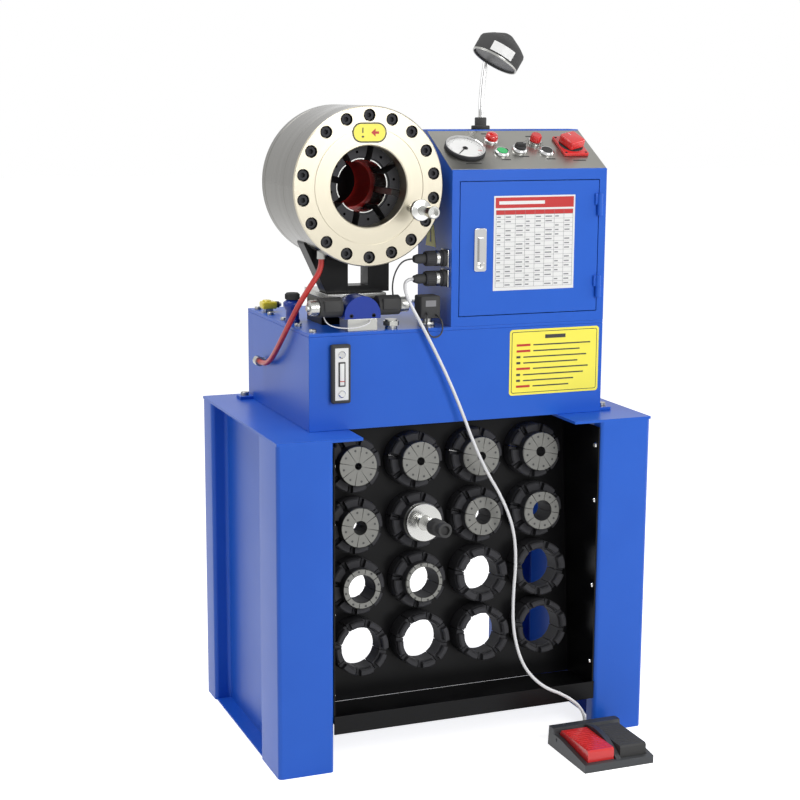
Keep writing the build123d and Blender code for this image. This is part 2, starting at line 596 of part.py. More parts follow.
def rear_sleeve():
    """Return the sleeve the piston slides on, whose rear lip closes the head."""
    reach = SLEEVE_REACH + REAR_WALL
    profile = [(SLEEVE_BORE_R, 0), (SLEEVE_R, 0), (SLEEVE_R, reach), (SLEEVE_LIP_R, reach),
               (SLEEVE_LIP_R, reach + SLEEVE_LIP_L), (SLEEVE_BORE_R, reach + SLEEVE_LIP_L)]
    return in_head(HEAD_Y2 - reach, spun(profile))


def master_die(number):
    """Return one master die in the open head."""
    split = 1.2
    rear_r = MASTER_FRONT_R - MASTER_L * CONE
    profile = [(MASTER_BORE_R + 3, 0), (MASTER_FRONT_R, 0), (rear_r, MASTER_L),
               (MASTER_BORE_R, MASTER_L), (MASTER_BORE_R, 3)]
    wedge = Rot(0, 0, -180 / SEGMENTS + split / 2) * spun(profile, angle=360 / SEGMENTS - split)
    angle = -MASTER_TURN - number * 360 / SEGMENTS
    return in_head(MASTER_Y0, Rot(0, 0, angle) * Pos(DIE_TRAVEL, 0, 0) * wedge)


save("head_front_cover", head_front_cover())
save("head_screws", *head_screws())
save("head_cylinder", head_cylinder())
save("piston_cone", piston_cone())
save("rear_sleeve", rear_sleeve())
for number in range(SEGMENTS):
    save(f"master_die_{number + 1}", master_die(number))

# ================================================================ head carrier
def head_bracket():
    """Return the welded bracket: a foot bar and two legs shaped to the head."""
    foot, top = PLATE_Z0 + PLATE_T, BRACKET_TOP_Z
    left = Polyline((BRACKET_X0, foot), (BRACKET_X0 + BRACKET_LEG_W, foot),
                    (BRACKET_X0 + BRACKET_LEG_W, HEAD_Z), (BRACKET_X0 - BRACKET_SPREAD, HEAD_Z),
                    (BRACKET_X0 - BRACKET_SPREAD, top), close=True)
    legs = extrude(Plane.XZ.offset(-BRACKET_Y1) * make_face(left), BRACKET_Y1 - BRACKET_Y0)
    legs += block(BRACKET_X1 - BRACKET_LEG_W, BRACKET_X1, BRACKET_Y0, BRACKET_Y1, foot, HEAD_Z)
    legs += block(BRACKET_X0, BRACKET_X1, BRACKET_Y0, BRACKET_Y1, foot, foot + BRACKET_FOOT_H)
    return legs - along_y(HEAD_X, BRACKET_Y0, HEAD_Z, HEAD_R, BRACKET_Y1 - BRACKET_Y0)


def back_stop():
    """Return the plate behind the bore that a hose is pushed against, on its arm and rod."""
    plate = Cylinder(STOP_R, STOP_T, align=(MID, MID, MIN))
    plate += Pos(0, -STOP_ROD_UP / 2, 0) * Box(STOP_ARM_W, STOP_ROD_UP + STOP_ARM_W / 2, STOP_T, align=(MID, MID, MIN))
    rod = Pos(0, -STOP_ROD_UP, -STOP_BACK) * Cylinder(STOP_ROD_R, STOP_BACK, align=(MID, MID, MIN))
    return in_head(HEAD_Y2 + STOP_BACK, plate + rod)


def head_plinth():
    """Return the plinth that carries the base plate over the tank."""
    return block(PLATE_X0 + PLINTH_INSET, PLATE_X1 - PLINTH_INSET, PLINTH_Y0, PLATE_Y1, TANK_TOP, PLATE_Z0)


save("head_base_plate", block(PLATE_X0, PLATE_X1, PLATE_Y0, PLATE_Y1, PLATE_Z0, PLATE_Z0 + PLATE_T))
save("head_bracket", head_bracket(), head_plinth(), back_stop())

# ================================================================ valve
VALVE_Z0 = TANK_TOP + SUBPLATE_H
VALVE_Y = VALVE_Y0 + VALVE_D / 2
COIL_Z = VALVE_Z0 + VALVE_H / 2
FITTING_X = VALVE_X + 60.0


def valve_body():
    """Return the directional valve, with its arched top."""
    half = VALVE_W / 2
    spring = VALVE_Z0 + VALVE_H - half
    outline = Polyline((VALVE_X - half, spring), (VALVE_X - half, VALVE_Z0), (VALVE_X + half, VALVE_Z0),
                       (VALVE_X + half, spring))
    outline += ThreePointArc((VALVE_X + half, spring), (VALVE_X, spring + half), (VALVE_X - half, spring))
    return extrude(Plane.XZ.offset(-VALVE_Y0 - VALVE_D) * make_face(outline), VALVE_D)


def solenoid(side):
    """Return the coil, its core tube nut and its plug on one side of the valve."""
    reach = COIL_L + COIL_NUT_L
    start = VALVE_X + side * VALVE_W / 2 - (reach if side < 0 else 0)
    coil = start + (0 if side > 0 else COIL_NUT_L)
    nut = start + (COIL_L if side > 0 else 0)
    body = along_x(coil, VALVE_Y, COIL_Z, COIL_R - 4, COIL_L)
    body += block(coil + 6, coil + COIL_L - 6, VALVE_Y - COIL_R, VALVE_Y + COIL_R, COIL_Z - 6, COIL_Z + 14)
    return body + along_x(nut, VALVE_Y, COIL_Z, COIL_NUT_R, COIL_NUT_L)


def valve_fitting():
    """Return the pressure fitting beside the valve: body and hexagon nut."""
    body = upright(FITTING_X, VALVE_Y - 6, TANK_TOP, 11.0, 17.0)
    return body + hex_head(FITTING_X, VALVE_Y - 6, TANK_TOP + 6, 26.0, 8.0)


save("valve_subplate", block(VALVE_X - SUBPLATE_W / 2, VALVE_X + SUBPLATE_W / 2, VALVE_Y0,
                             VALVE_Y0 + VALVE_D, TANK_TOP, VALVE_Z0))
save("valve_body", valve_body())
save("solenoids", solenoid(-1), solenoid(1))

# ================================================================ control cabinet
CAB_Z0 = TANK_TOP
DOOR_LEFT, DOOR_RIGHT = CAB_X0 + DOOR_SIDE, CAB_X1 - DOOR_SIDE
DOOR_FOOT, DOOR_TOP = CAB_Z0 + DOOR_UP, CAB_Z1 - DOOR_DOWN
DOOR_T = 2.0
HINGE_X = DOOR_RIGHT + DOOR_GAP / 2
HINGE_Y = CAB_Y0 - HINGE_R
SLOPE = radians(PANEL_SLOPE)
PANEL = Plane(origin=(CAB_X0, CAB_Y0, CAB_Z1), x_dir=(1, 0, 0), z_dir=(0, -sin(SLOPE), cos(SLOPE)))


def cabinet_outline(inset):
    """Return the cabinet's side outline, a given distance inside its outer faces."""
    rise = inset * tan(SLOPE / 2)
    points = [(CAB_Y0 + inset, CAB_Z0), (CAB_Y0 + inset, CAB_Z1 - rise),
              (ROOF_Y0 + rise, CAB_TOP - inset), (CAB_Y1 - inset, CAB_TOP - inset), (CAB_Y1 - inset, CAB_Z0)]
    return Plane.YZ * make_face(Polyline(*points, close=True))


def cabinet_shell():
    """Return the cabinet: folded sheet, open under its panel and at its door."""
    body = Pos(CAB_X0, 0, 0) * extrude(cabinet_outline(0), CAB_W)
    body -= Pos(CAB_X0 + SHEET, 0, SHEET) * extrude(cabinet_outline(SHEET), CAB_W - 2 * SHEET)
    body -= block(DOOR_LEFT - DOOR_GAP, DOOR_RIGHT + DOOR_GAP, CAB_Y0, CAB_Y0 + SHEET,
                  DOOR_FOOT - DOOR_GAP, DOOR_TOP + DOOR_GAP)
    panel_cut = Pos(0, PANEL_EDGE, 0) * Box(CAB_W, PANEL_L - 2 * PANEL_EDGE, PANEL_T, align=(MIN, MIN, MAX))
    body -= PANEL.location * panel_cut
    for z in HINGE_ZS:
        body += upright(HINGE_X, HINGE_Y, z - HINGE_L / 2, HINGE_R, HINGE_L / 2)
        body += block(HINGE_X, HINGE_X + 9, HINGE_Y, CAB_Y0, z - HINGE_L / 2, z)
    return body


def cabinet_door():
    """Return the door: a tray with folded edges and the upper hinge halves."""
    door = block(DOOR_LEFT, DOOR_RIGHT, CAB_Y0, CAB_Y0 + DOOR_RETURN, DOOR_FOOT, DOOR_TOP)
    door -= block(DOOR_LEFT + DOOR_T, DOOR_RIGHT - DOOR_T, CAB_Y0 + DOOR_T, CAB_Y0 + DOOR_RETURN,
                  DOOR_FOOT + DOOR_T, DOOR_TOP - DOOR_T)
    for z in HINGE_ZS:
        door += upright(HINGE_X, HINGE_Y, z, HINGE_R, HINGE_L / 2)
        door += block(HINGE_X - 9, HINGE_X, HINGE_Y, CAB_Y0, z, z + HINGE_L / 2)
    return door - along_y(LATCH_AX, CAB_Y0, LATCH_AZ, LATCH_SHAFT_R + RUN, DOOR_T)


PANEL_EDGE = 4.0
HINGE_ZS = (DOOR_FOOT + HINGE_UP, DOOR_TOP - HINGE_UP)
LATCH_AX = DOOR_LEFT + LATCH_X
LATCH_AZ = DOOR_FOOT + 119.0
LATCH_SHAFT_R = 4.0
CAM_L, CAM_T = LATCH_X + 8.0, 3.0
GEAR_EDGE, GEAR_FOOT, GEAR_PLATE_T = 15.0, 20.0, 10.0
GEAR_D, GEAR_H = 75.0, 70.0
GEAR_ROWS = ((145.0, (45.0, 45.0, 18.0, 18.0, 18.0, 36.0)), (50.0, (72.0, 45.0, 22.0, 22.0, 54.0)))


def latch_plate():
    """Return the latch's frame on the door."""
    frame = block(LATCH_AX - LATCH_W / 2, LATCH_AX + LATCH_W / 2, CAB_Y0 - LATCH_T, CAB_Y0,
                  LATCH_AZ - LATCH_H / 2, LATCH_AZ + LATCH_H / 2)
    return frame - along_y(LATCH_AX, CAB_Y0 - LATCH_T, LATCH_AZ, LATCH_SHAFT_R + RUN, LATCH_T)


def latch_lever():
    """Return the lever, its shaft and the cam behind the cabinet's frame."""
    front = CAB_Y0 - LATCH_T - GAP
    rear = CAB_Y0 + DOOR_RETURN + GAP
    body = block(LATCH_AX - LEVER_W / 2, LATCH_AX + LEVER_W / 2, front - LEVER_T, front,
                 LATCH_AZ - LEVER_H / 2, LATCH_AZ + LEVER_H / 2)
    body += along_y(LATCH_AX, front, LATCH_AZ, LATCH_SHAFT_R, rear - front)
    return body + block(LATCH_AX - CAM_L, LATCH_AX + 7, rear, rear + CAM_T, LATCH_AZ - 7, LATCH_AZ + 7)


def control_gear():
    """Return the mounting plate with its rail, contactor, relays and terminals."""
    rear = CAB_Y1 - SHEET
    gear = block(CAB_X0 + GEAR_EDGE, CAB_X1 - GEAR_EDGE, rear - GEAR_PLATE_T, rear,
                 CAB_Z0 + GEAR_FOOT, CAB_Z1 - 2 * GEAR_EDGE)
    for up, widths in GEAR_ROWS:
        x = CAB_X0 + 2 * GEAR_EDGE
        for width in widths:
            gear += block(x, x + width - 1, rear - GEAR_D, rear - GEAR_PLATE_T, CAB_Z0 + up, CAB_Z0 + up + GEAR_H)
            x += width
    return gear


save("cabinet_shell", cabinet_shell())
save("cabinet_door", cabinet_door())
save("latch_plate", latch_plate())
save("latch_lever", latch_lever())
save("control_gear", control_gear())


# ================================================================ sloped panel
def on_panel(place, out, shape):
    """Place a shape on the sloped panel, with its Z axis off the panel."""
    return PANEL.location * Pos(place[0], place[1], out) * shape


BEZEL_H = 6.0
DIAL_H = 8.0
DOME_R, DOME_H = 14.0, 16.0
SELECTOR_H = 9.0
TIMER_SKIRT_R, TIMER_SKIRT_H = 12.5, 6.0
TIMER_KNOB_R, TIMER_KNOB_H = 10.5, 12.0
SWITCH_T = 6.0
CAP_T = 1.8
NEEDLE_L, NEEDLE_W, NEEDLE_T = 27.0, 2.0, 0.8
NEEDLE_AXLE_R = 2.5


def drum(radius, height):
    """Return a cylinder that stands on the XY plane."""
    return Cylinder(radius, height, align=(MID, MID, MIN))


def pressure_gauge():
    """Return the gauge's case, with a recessed dial and an axle."""
    case = ring(DIAL_R, DIAL_R - 4, DIAL_H) + drum(DIAL_R - 4, DIAL_H - 5)
    return on_panel(GAUGE_AT, 0, case + drum(NEEDLE_AXLE_R, DIAL_H - 2))


def gauge_needle():
    """Return the needle, with its boss round the axle."""
    boss = ring(NEEDLE_AXLE_R + 2.5, NEEDLE_AXLE_R + RUN, NEEDLE_T)
    needle = Rot(0, 0, NEEDLE_REST) * Pos(NEEDLE_AXLE_R + 1.5, 0, 0) * Box(NEEDLE_L, NEEDLE_W, NEEDLE_T,
                                                                          align=(MIN, MID, MIN))
    return on_panel(GAUGE_AT, DIAL_H - 5 + GAP, boss + needle)


NEEDLE_REST = 225.0     # the zero mark, from the panel's X direction


def button_cap(place):
    """Return a push-button's cap in its bezel."""
    return on_panel(place, BEZEL_H - CAP_T, drum(CAP_R, CAP_T))


def selector():
    """Return the selector's turning cap, with its raised bar."""
    return on_panel(SELECTOR_AT, BEZEL_H + GAP, drum(STEM_R, 3) + Pos(0, 0, 3) * Box(
        2 * STEM_R - 4, 7, SELECTOR_H - 3, align=(MID, MID, MIN)))


def main_switch_plate():
    """Return the red plate under the main switch."""
    face = RectangleRounded(SWITCH_W, SWITCH_L, 3)
    return on_panel(SWITCH_AT, 0, extrude(face, SWITCH_T))


def main_switch_knob():
    """Return the main switch's square knob."""
    knob = extrude(RectangleRounded(KNOB_W, KNOB_W, 5), KNOB_H, taper=6)
    return on_panel(SWITCH_AT, SWITCH_T + GAP, Rot(0, 0, KNOB_TURN) * knob)


KNOB_TURN = 20.0

save("control_panel", PANEL.location * Pos(0, PANEL_EDGE, 0) * Box(
    CAB_W, PANEL_L - 2 * PANEL_EDGE, PANEL_T, align=(MIN, MIN, MAX)))
save("pressure_gauge", pressure_gauge())
save("gauge_needle", gauge_needle())
save("signal_lamp", on_panel(LAMP_AT, 0, spun([(0, 0), (DOME_R, 0), (DOME_R - 1, DOME_H - 6),
                                              (DOME_R - 5, DOME_H), (0, DOME_H)])))
save("button_bezels", *[on_panel(place, 0, ring(BEZEL_R, CAP_R + 2 * GAP, BEZEL_H))
                        for place in (GREEN_AT, BLACK_AT)],
     on_panel(SELECTOR_AT, 0, drum(BEZEL_R, BEZEL_H)),
     on_panel(TIMER_AT, 0, drum(TIMER_SKIRT_R, TIMER_SKIRT_H)))
save("green_button", button_cap(GREEN_AT))
save("black_button", button_cap(BLACK_AT))
save("selector", selector())
save("timer_knob", on_panel(TIMER_AT, TIMER_SKIRT_H + GAP, drum(TIMER_KNOB_R, TIMER_KNOB_H)))
save("main_switch_plate", main_switch_plate())
save("main_switch_knob", main_switch_knob())

# ================================================================ work lamp
SHADE_R, SHADE_L = 45.0, 30.0
SHADE_SET = 50.6        # neck's plane behind the shade's axis
SHADE_RIM = (LAMP_X + 2.6, LAMP_Y - SHADE_SET, CAB_TOP + 124.0)
SHADE = Plane(origin=SHADE_RIM, x_dir=(0, 1, 0), z_dir=(sin(radians(SHADE_TILT)), 0, cos(radians(SHADE_TILT))))
PIVOT = SHADE.origin + SHADE.z_dir * (SHADE_L / 2)
EYE_R, EYE_L, EYE_PIN_R = 9.0, 11.0, 3.0
NECK_POINTS = [(LAMP_X, LAMP_Y, CAB_TOP + LAMP_BASE_H), (LAMP_X + 0.5, LAMP_Y, CAB_TOP + 41.0),
               (LAMP_X + 3.0, LAMP_Y, CAB_TOP + 81.0),
               (PIVOT.X, LAMP_Y, PIVOT.Z)]
CORD_SIDES = 8          # sides of a cord's section, kept few because cords are long


def corner_radii(points):
    """Return the largest tangent arcs that fit a route's corners."""
    radii = []
    for before, at, after in zip(points, points[1:], points[2:]):
        into, out = Vector(*at) - Vector(*before), Vector(*after) - Vector(*at)
        half_turn = radians(into.get_angle(out)) / 2
        radii.append(0.45 * min(into.length, out.length) / tan(half_turn))
    return radii


def cord(name, points, diameter):
    """Return a cord's tube along straight runs and tangent arcs, and print its sizes."""
    radii = corner_radii(points)
    path = FilletPolyline(*points, radius=radii)
    start = Plane(origin=path @ 0, z_dir=path % 0)
    section = start * RegularPolygon(diameter / 2, CORD_SIDES)
    tube = sweep(section, path=path)
    share = tube.volume / (section.area * path.length)
    print(name, "length", round(path.length, 1), "radii", [round(radius, 1) for radius in radii],
          "volume over section x length", round(share, 4))
    return tube


def lamp_arm():
    """Return the lamp's foot, gooseneck and the eye at its end."""
    foot = upright(LAMP_X, LAMP_Y, CAB_TOP, LAMP_BASE_R, LAMP_BASE_H)
    foot += upright(LAMP_X, LAMP_Y, CAB_TOP + LAMP_BASE_H, LAMP_STEM_R, LAMP_STEM_H)
    foot += cord("gooseneck", NECK_POINTS, 2 * NECK_R)
    eye = along_y(PIVOT.X, LAMP_Y - NECK_R + GAP, PIVOT.Z, EYE_R, EYE_L)
    return foot + eye - along_y(PIVOT.X, LAMP_Y - NECK_R, PIVOT.Z, EYE_PIN_R + RUN, EYE_L + 1)


def lamp_head():
    """Return the lamp head: a domed drum, a recessed lens and its pivot pin."""
    profile = [(0, 3), (SHADE_R - 3, 3), (SHADE_R - 1, 0), (SHADE_R, 0), (SHADE_R, SHADE_L),
               (24, SHADE_L + 16), (8, SHADE_L + 26), (0, SHADE_L + 26)]
    shade = SHADE.location * spun(profile)
    return shade + along_y(PIVOT.X, PIVOT.Y + SHADE_R - 3, PIVOT.Z, EYE_PIN_R, EYE_L)


save("lamp_arm", lamp_arm())
save("lamp_head", lamp_head())

# ================================================================ parked tool, hoses and cables
HEAD_TOOL_X, HEAD_TOOL_Z = HEAD_X + 77.0, HEAD_Z - 39.0


def head_tool():
    """Return the push tool parked on the head's face: rod, collar, grip and end ring."""
    profile = [(0, GAP), (7, GAP), (7, 46), (19, 46), (19, 54), (8, 62), (10, 96), (11, 110), (0, 110)]
    face = Plane(origin=(HEAD_TOOL_X, HEAD_Y0, HEAD_TOOL_Z), x_dir=(1, 0, 0), z_dir=(0, -1, 0))
    return face.location * spun(profile)


HOSE_D = 10.0
PEDAL_CABLE_D = 6.0
HOSE_TOP = (HEAD_X - 74.0, HEAD_Y0 + 44.0, HEAD_Z - 128.0)
HOSE_END = (TANK_X0 - 12, TANK_Y0 + 257.0, TANK_Z0 + 88.0)
HOSE_POINTS = [HOSE_TOP, (-240.0, FRONT + 126.0, 893.0), (-258.0, FRONT + 127.0, 866.0),
               (-278.0, FRONT + 136.0, 832.0), (-290.0, FRONT + 162.0, 790.0),
               (-294.0, FRONT + 207.0, 748.0), (-293.0, FRONT + 258.0, 714.0),
               (-293.0, FRONT + 298.0, 698.0), HOSE_END]


def hose_elbows():
    """Return the hose's fitting under the head and the elbow on the tank's side."""
    x, y, z = HOSE_TOP
    upper = upright(x, y, z, 8.0, 14.0) - along_y(HEAD_X, y - 12, HEAD_Z, HEAD_R, 24.0)
    x, y, z = HOSE_END
    lower = along_y(x, y, z, 9.0, 18.0) + along_x(x, y + 12, z, 6.0, TANK_X0 - x)
    return [upper, lower]


PLUG_Y = CAB_Y0 + 25.0
PLUG_XS = (CAB_X0 - 64.0, CAB_X0)
PLUG_ZS = (CAB_Z0 + 123.0, CAB_Z0 + 87.0)
FLANGE_R, FLANGE_L = 16.0, 10.0
COUPLING_R, COUPLING_L = 14.0, 32.0
CABLE_NUT_R = 9.0


def cable_plug(z):
    """Return one plug on the cabinet's side: flange, coupling ring and cable nut."""
    left, wall = PLUG_XS
    ring_x, nut_x = wall - FLANGE_L, wall - FLANGE_L - COUPLING_L
    body = along_x(ring_x, PLUG_Y, z, FLANGE_R, FLANGE_L) + along_x(nut_x, PLUG_Y, z, COUPLING_R, COUPLING_L)
    return body + along_x(left, PLUG_Y, z, CABLE_NUT_R, nut_x - left)


SWITCH_BOX_X = CAB_X0 - 36.0
SWITCH_BOX_W, SWITCH_BOX_D, SWITCH_BOX_H = 38.0, 34.0, 41.0
SWITCH_FOOT_H, SWITCH_NECK_H = 9.0, 7.0


def pressure_switch():
    """Return the pressure switch that leans on its hexagon foot beside the cabinet."""
    x, y, z = SWITCH_BOX_X, PLUG_Y, TANK_TOP + SWITCH_FOOT_H + SWITCH_NECK_H
    foot = hex_head(x, y, TANK_TOP, 26.0, SWITCH_FOOT_H)
    foot += upright(x, y, TANK_TOP + SWITCH_FOOT_H, 8.0, SWITCH_NECK_H)
    return foot + block(x - SWITCH_BOX_W / 2, x + SWITCH_BOX_W / 2, y - SWITCH_BOX_D / 2, y + SWITCH_BOX_D / 2,
                        z, z + SWITCH_BOX_H)


PEDAL_CABLE = [(PLUG_XS[0], PLUG_Y, PLUG_ZS[1]), (-88.0, PLUG_Y, PLUG_ZS[1]), (-98.0, FRONT + 86.0, 858.0),
               (-93.0, FRONT + 70.0, 832.0), (-74.0, FRONT + 62.0, 795.0), (-50.0, FRONT + 60.0, 750.0),
               (-23.0, FRONT + 58.0, 696.0), (2.0, FRONT + 55.0, 638.0), (24.0, FRONT + 52.0, 580.0),
               (50.0, FRONT + 49.0, 522.0), (83.0, FRONT + 44.0, 467.0), (106.0, FRONT + 40.0, 407.0),
               (109.0, FRONT + 34.0, 345.0), (101.0, FRONT + 28.0, 283.0), (99.0, FRONT + 22.0, 222.0),
               (108.0, FRONT + 15.0, 172.0), (124.0, FRONT + 7.0, 136.0), (152.0, FRONT - 7.0, 108.0),
               (188.0, FRONT - 11.0, 92.0), (219.0, FRONT - 12.0, 70.0), (237.0, FRONT - 10.0, 45.0),
               (PEDAL_GLAND_X, FRONT - 5.0, PEDAL_GLAND_Z),
               (PEDAL_GLAND_X, PEDAL_Y1, PEDAL_GLAND_Z)]
save("head_tool", head_tool())
save("hose_fittings", valve_fitting(), *hose_elbows())
save("drain_hose", cord("drain_hose", HOSE_POINTS, HOSE_D))
save("cable_plugs", *[cable_plug(z) for z in PLUG_ZS])
save("pressure_switch", pressure_switch())
save("pedal_cable", cord("pedal_cable", PEDAL_CABLE, PEDAL_CABLE_D))
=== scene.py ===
"""Dress a hydraulic hose crimping machine: stand with die rack, oil tank, head, cabinet, lamp, pedal.

Lengths in this file are metres.  X runs to the operator's right, Y to the rear, Z up.
"""
from __future__ import annotations

import logging
from collections.abc import Callable, Iterable
from dataclasses import dataclass
from enum import Enum
from math import cos, pi, radians, sin, tan
from typing import TypeVar

import bmesh
import bpy
from mathutils import Matrix, Vector


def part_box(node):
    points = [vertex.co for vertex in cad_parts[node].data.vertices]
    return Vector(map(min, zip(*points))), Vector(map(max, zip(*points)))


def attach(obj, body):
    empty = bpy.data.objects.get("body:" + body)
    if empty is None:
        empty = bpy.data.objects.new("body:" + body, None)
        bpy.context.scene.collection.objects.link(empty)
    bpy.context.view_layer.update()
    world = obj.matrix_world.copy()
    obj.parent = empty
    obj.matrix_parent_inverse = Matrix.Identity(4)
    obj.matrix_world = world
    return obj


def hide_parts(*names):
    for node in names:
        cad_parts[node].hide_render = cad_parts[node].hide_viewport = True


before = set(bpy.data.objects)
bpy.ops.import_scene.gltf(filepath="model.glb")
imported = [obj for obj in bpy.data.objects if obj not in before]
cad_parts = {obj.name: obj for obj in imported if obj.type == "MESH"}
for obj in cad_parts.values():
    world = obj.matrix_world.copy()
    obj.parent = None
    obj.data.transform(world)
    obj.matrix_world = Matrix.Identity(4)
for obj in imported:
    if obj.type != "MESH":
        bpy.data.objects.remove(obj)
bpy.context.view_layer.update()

LOG = logging.getLogger("crimper")
Point = tuple[float, float, float]
Part = TypeVar("Part")
Colour = tuple[float, float, float, float]


def box_of(node: str) -> tuple[Vector, Vector]:
    """Return a node's lowest and highest corner.

    Args:
        node: The CAD node's name.

    Returns:
        Its two corners at rest.
    """
    low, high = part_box(node)
    return Vector(low), Vector(high)


def middle_of(node: str) -> Vector:
    """Return the middle of a node's box."""
    low, high = box_of(node)
    return (low + high) / 2


# ---------------------------------------------------------------- shared effects


class Effect(Enum):
    """The surface effects that more than one finish uses."""

    ORANGE_PEEL = "orange_peel"
    BRUSHED = "brushed_lines"
    TURNED = "turned_rings"
    DUST = "settled_dust"


class EffectLibrary:
    """Builds each effect's node group once."""

    def __init__(self) -> None:
        """Start with no group built."""
        self.groups: dict[Effect, bpy.types.NodeTree] = {}

    def get(self, effect: Effect) -> bpy.types.NodeTree:
        """Return an effect's node group, and build it on first use.

        Args:
            effect: The effect wanted.

        Returns:
            Its node group.
        """
        if effect not in self.groups:
            makers = {Effect.ORANGE_PEEL: self._orange_peel, Effect.BRUSHED: self._brushed,
                      Effect.TURNED: self._turned, Effect.DUST: self._dust}
            self.groups[effect] = makers[effect]()
        return self.groups[effect]

    @staticmethod
    def _start(effect: Effect, inputs: dict[str, float], outputs: tuple[str, ...]) -> bpy.types.NodeTree:
        """Return an empty group with its sockets.

        Args:
            effect: The effect, whose value names the group.
            inputs: Float inputs and their defaults.
            outputs: Float outputs.

        Returns:
            The new group.
        """
        tree = bpy.data.node_groups.new(effect.value, "ShaderNodeTree")
        tree.interface.new_socket("Vector", in_out="INPUT", socket_type="NodeSocketVector")
        for name, value in inputs.items():
            socket = tree.interface.new_socket(name, in_out="INPUT", socket_type="NodeSocketFloat")
            socket.default_value = value
        for name in outputs:
            tree.interface.new_socket(name, in_out="OUTPUT", socket_type="NodeSocketFloat")
        tree.nodes.new("NodeGroupInput").name = "in"
        tree.nodes.new("NodeGroupOutput").name = "out"
        return tree

    def _orange_peel(self) -> bpy.types.NodeTree:
        """Return the fine waviness and mottle of sprayed paint or moulded plastic."""
        tree = self._start(Effect.ORANGE_PEEL, {"Scale": 400.0}, ("Height", "Mottle"))
        source, target = tree.nodes["in"], tree.nodes["out"]
        fine = tree.nodes.new("ShaderNodeTexNoise")
        fine.inputs["Detail"].default_value = 3.0
        broad = tree.nodes.new("ShaderNodeTexNoise")
        broad.inputs["Scale"].default_value = 9.0
        broad.inputs["Detail"].default_value = 5.0
        for node in (fine, broad):
            tree.links.new(source.outputs["Vector"], node.inputs["Vector"])
        tree.links.new(source.outputs["Scale"], fine.inputs["Scale"])
        tree.links.new(fine.outputs["Fac"], target.inputs["Height"])
        tree.links.new(broad.outputs["Fac"], target.inputs["Mottle"])
        return tree

    def _brushed(self) -> bpy.types.NodeTree:
        """Return straight brushing lines along X."""
        tree = self._start(Effect.BRUSHED, {"Fineness": 1.0}, ("Height", "Mottle"))
        source, target = tree.nodes["in"], tree.nodes["out"]
        stretch = tree.nodes.new("ShaderNodeMapping")
        stretch.inputs["Scale"].default_value = (6.0, 900.0, 900.0)
        lines = tree.nodes.new("ShaderNodeTexNoise")
        lines.inputs["Detail"].default_value = 4.0
        cloud = tree.nodes.new("ShaderNodeTexNoise")
        cloud.inputs["Scale"].default_value = 14.0
        tree.links.new(source.outputs["Vector"], stretch.inputs["Vector"])
        tree.links.new(source.outputs["Vector"], cloud.inputs["Vector"])
        tree.links.new(stretch.outputs["Vector"], lines.inputs["Vector"])
        tree.links.new(source.outputs["Fineness"], lines.inputs["Scale"])
        tree.links.new(lines.outputs["Fac"], target.inputs["Height"])
        tree.links.new(cloud.outputs["Fac"], target.inputs["Mottle"])
        return tree

    def _turned(self) -> bpy.types.NodeTree:
        """Return the rings that a lathe leaves round the Z axis of its input."""
        tree = self._start(Effect.TURNED, {"Pitch": 900.0}, ("Height", "Mottle"))
        source, target = tree.nodes["in"], tree.nodes["out"]
        parts = tree.nodes.new("ShaderNodeSeparateXYZ")
        tree.links.new(source.outputs["Vector"], parts.inputs["Vector"])
        flat = tree.nodes.new("ShaderNodeCombineXYZ")
        tree.links.new(parts.outputs["X"], flat.inputs["X"])
        tree.links.new(parts.outputs["Y"], flat.inputs["Y"])
        reach = tree.nodes.new("ShaderNodeVectorMath")
        reach.operation = "LENGTH"
        tree.links.new(flat.outputs["Vector"], reach.inputs[0])
        place = tree.nodes.new("ShaderNodeCombineXYZ")
        tree.links.new(reach.outputs["Value"], place.inputs["X"])
        tree.links.new(parts.outputs["Z"], place.inputs["Y"])
        rings = tree.nodes.new("ShaderNodeTexNoise")
        rings.inputs["Detail"].default_value = 2.0
        tree.links.new(place.outputs["Vector"], rings.inputs["Vector"])
        tree.links.new(source.outputs["Pitch"], rings.inputs["Scale"])
        # Broad bands that shift the colour along the axis: random tone, and on the darkened side steel they also stand
        # for reflection bands (painted reflection).
        bands = tree.nodes.new("ShaderNodeTexNoise")
        bands.inputs["Scale"].default_value = 70.0
        tree.links.new(place.outputs["Vector"], bands.inputs["Vector"])
        tree.links.new(rings.outputs["Fac"], target.inputs["Height"])
        tree.links.new(bands.outputs["Fac"], target.inputs["Mottle"])
        return tree

    def _dust(self) -> bpy.types.NodeTree:
        """Return a mask of the thin dust that settles on faces that look up."""
        tree = self._start(Effect.DUST, {"Amount": 0.2}, ("Mask",))
        source, target = tree.nodes["in"], tree.nodes["out"]
        cloud = tree.nodes.new("ShaderNodeTexNoise")
        cloud.inputs["Scale"].default_value = 24.0
        cloud.inputs["Detail"].default_value = 6.0
        tree.links.new(source.outputs["Vector"], cloud.inputs["Vector"])
        facing = tree.nodes.new("ShaderNodeNewGeometry")
        parts = tree.nodes.new("ShaderNodeSeparateXYZ")
        tree.links.new(facing.outputs["Normal"], parts.inputs["Vector"])
        upward = tree.nodes.new("ShaderNodeMath")
        upward.operation = "MULTIPLY"
        upward.use_clamp = True
        tree.links.new(parts.outputs["Z"], upward.inputs[0])
        tree.links.new(cloud.outputs["Fac"], upward.inputs[1])
        share = tree.nodes.new("ShaderNodeMath")
        share.operation = "MULTIPLY"
        tree.links.new(upward.outputs["Value"], share.inputs[0])
        tree.links.new(source.outputs["Amount"], share.inputs[1])
        tree.links.new(share.outputs["Value"], target.inputs["Mask"])
        return tree


EFFECTS = EffectLibrary()


# ---------------------------------------------------------------- finishes


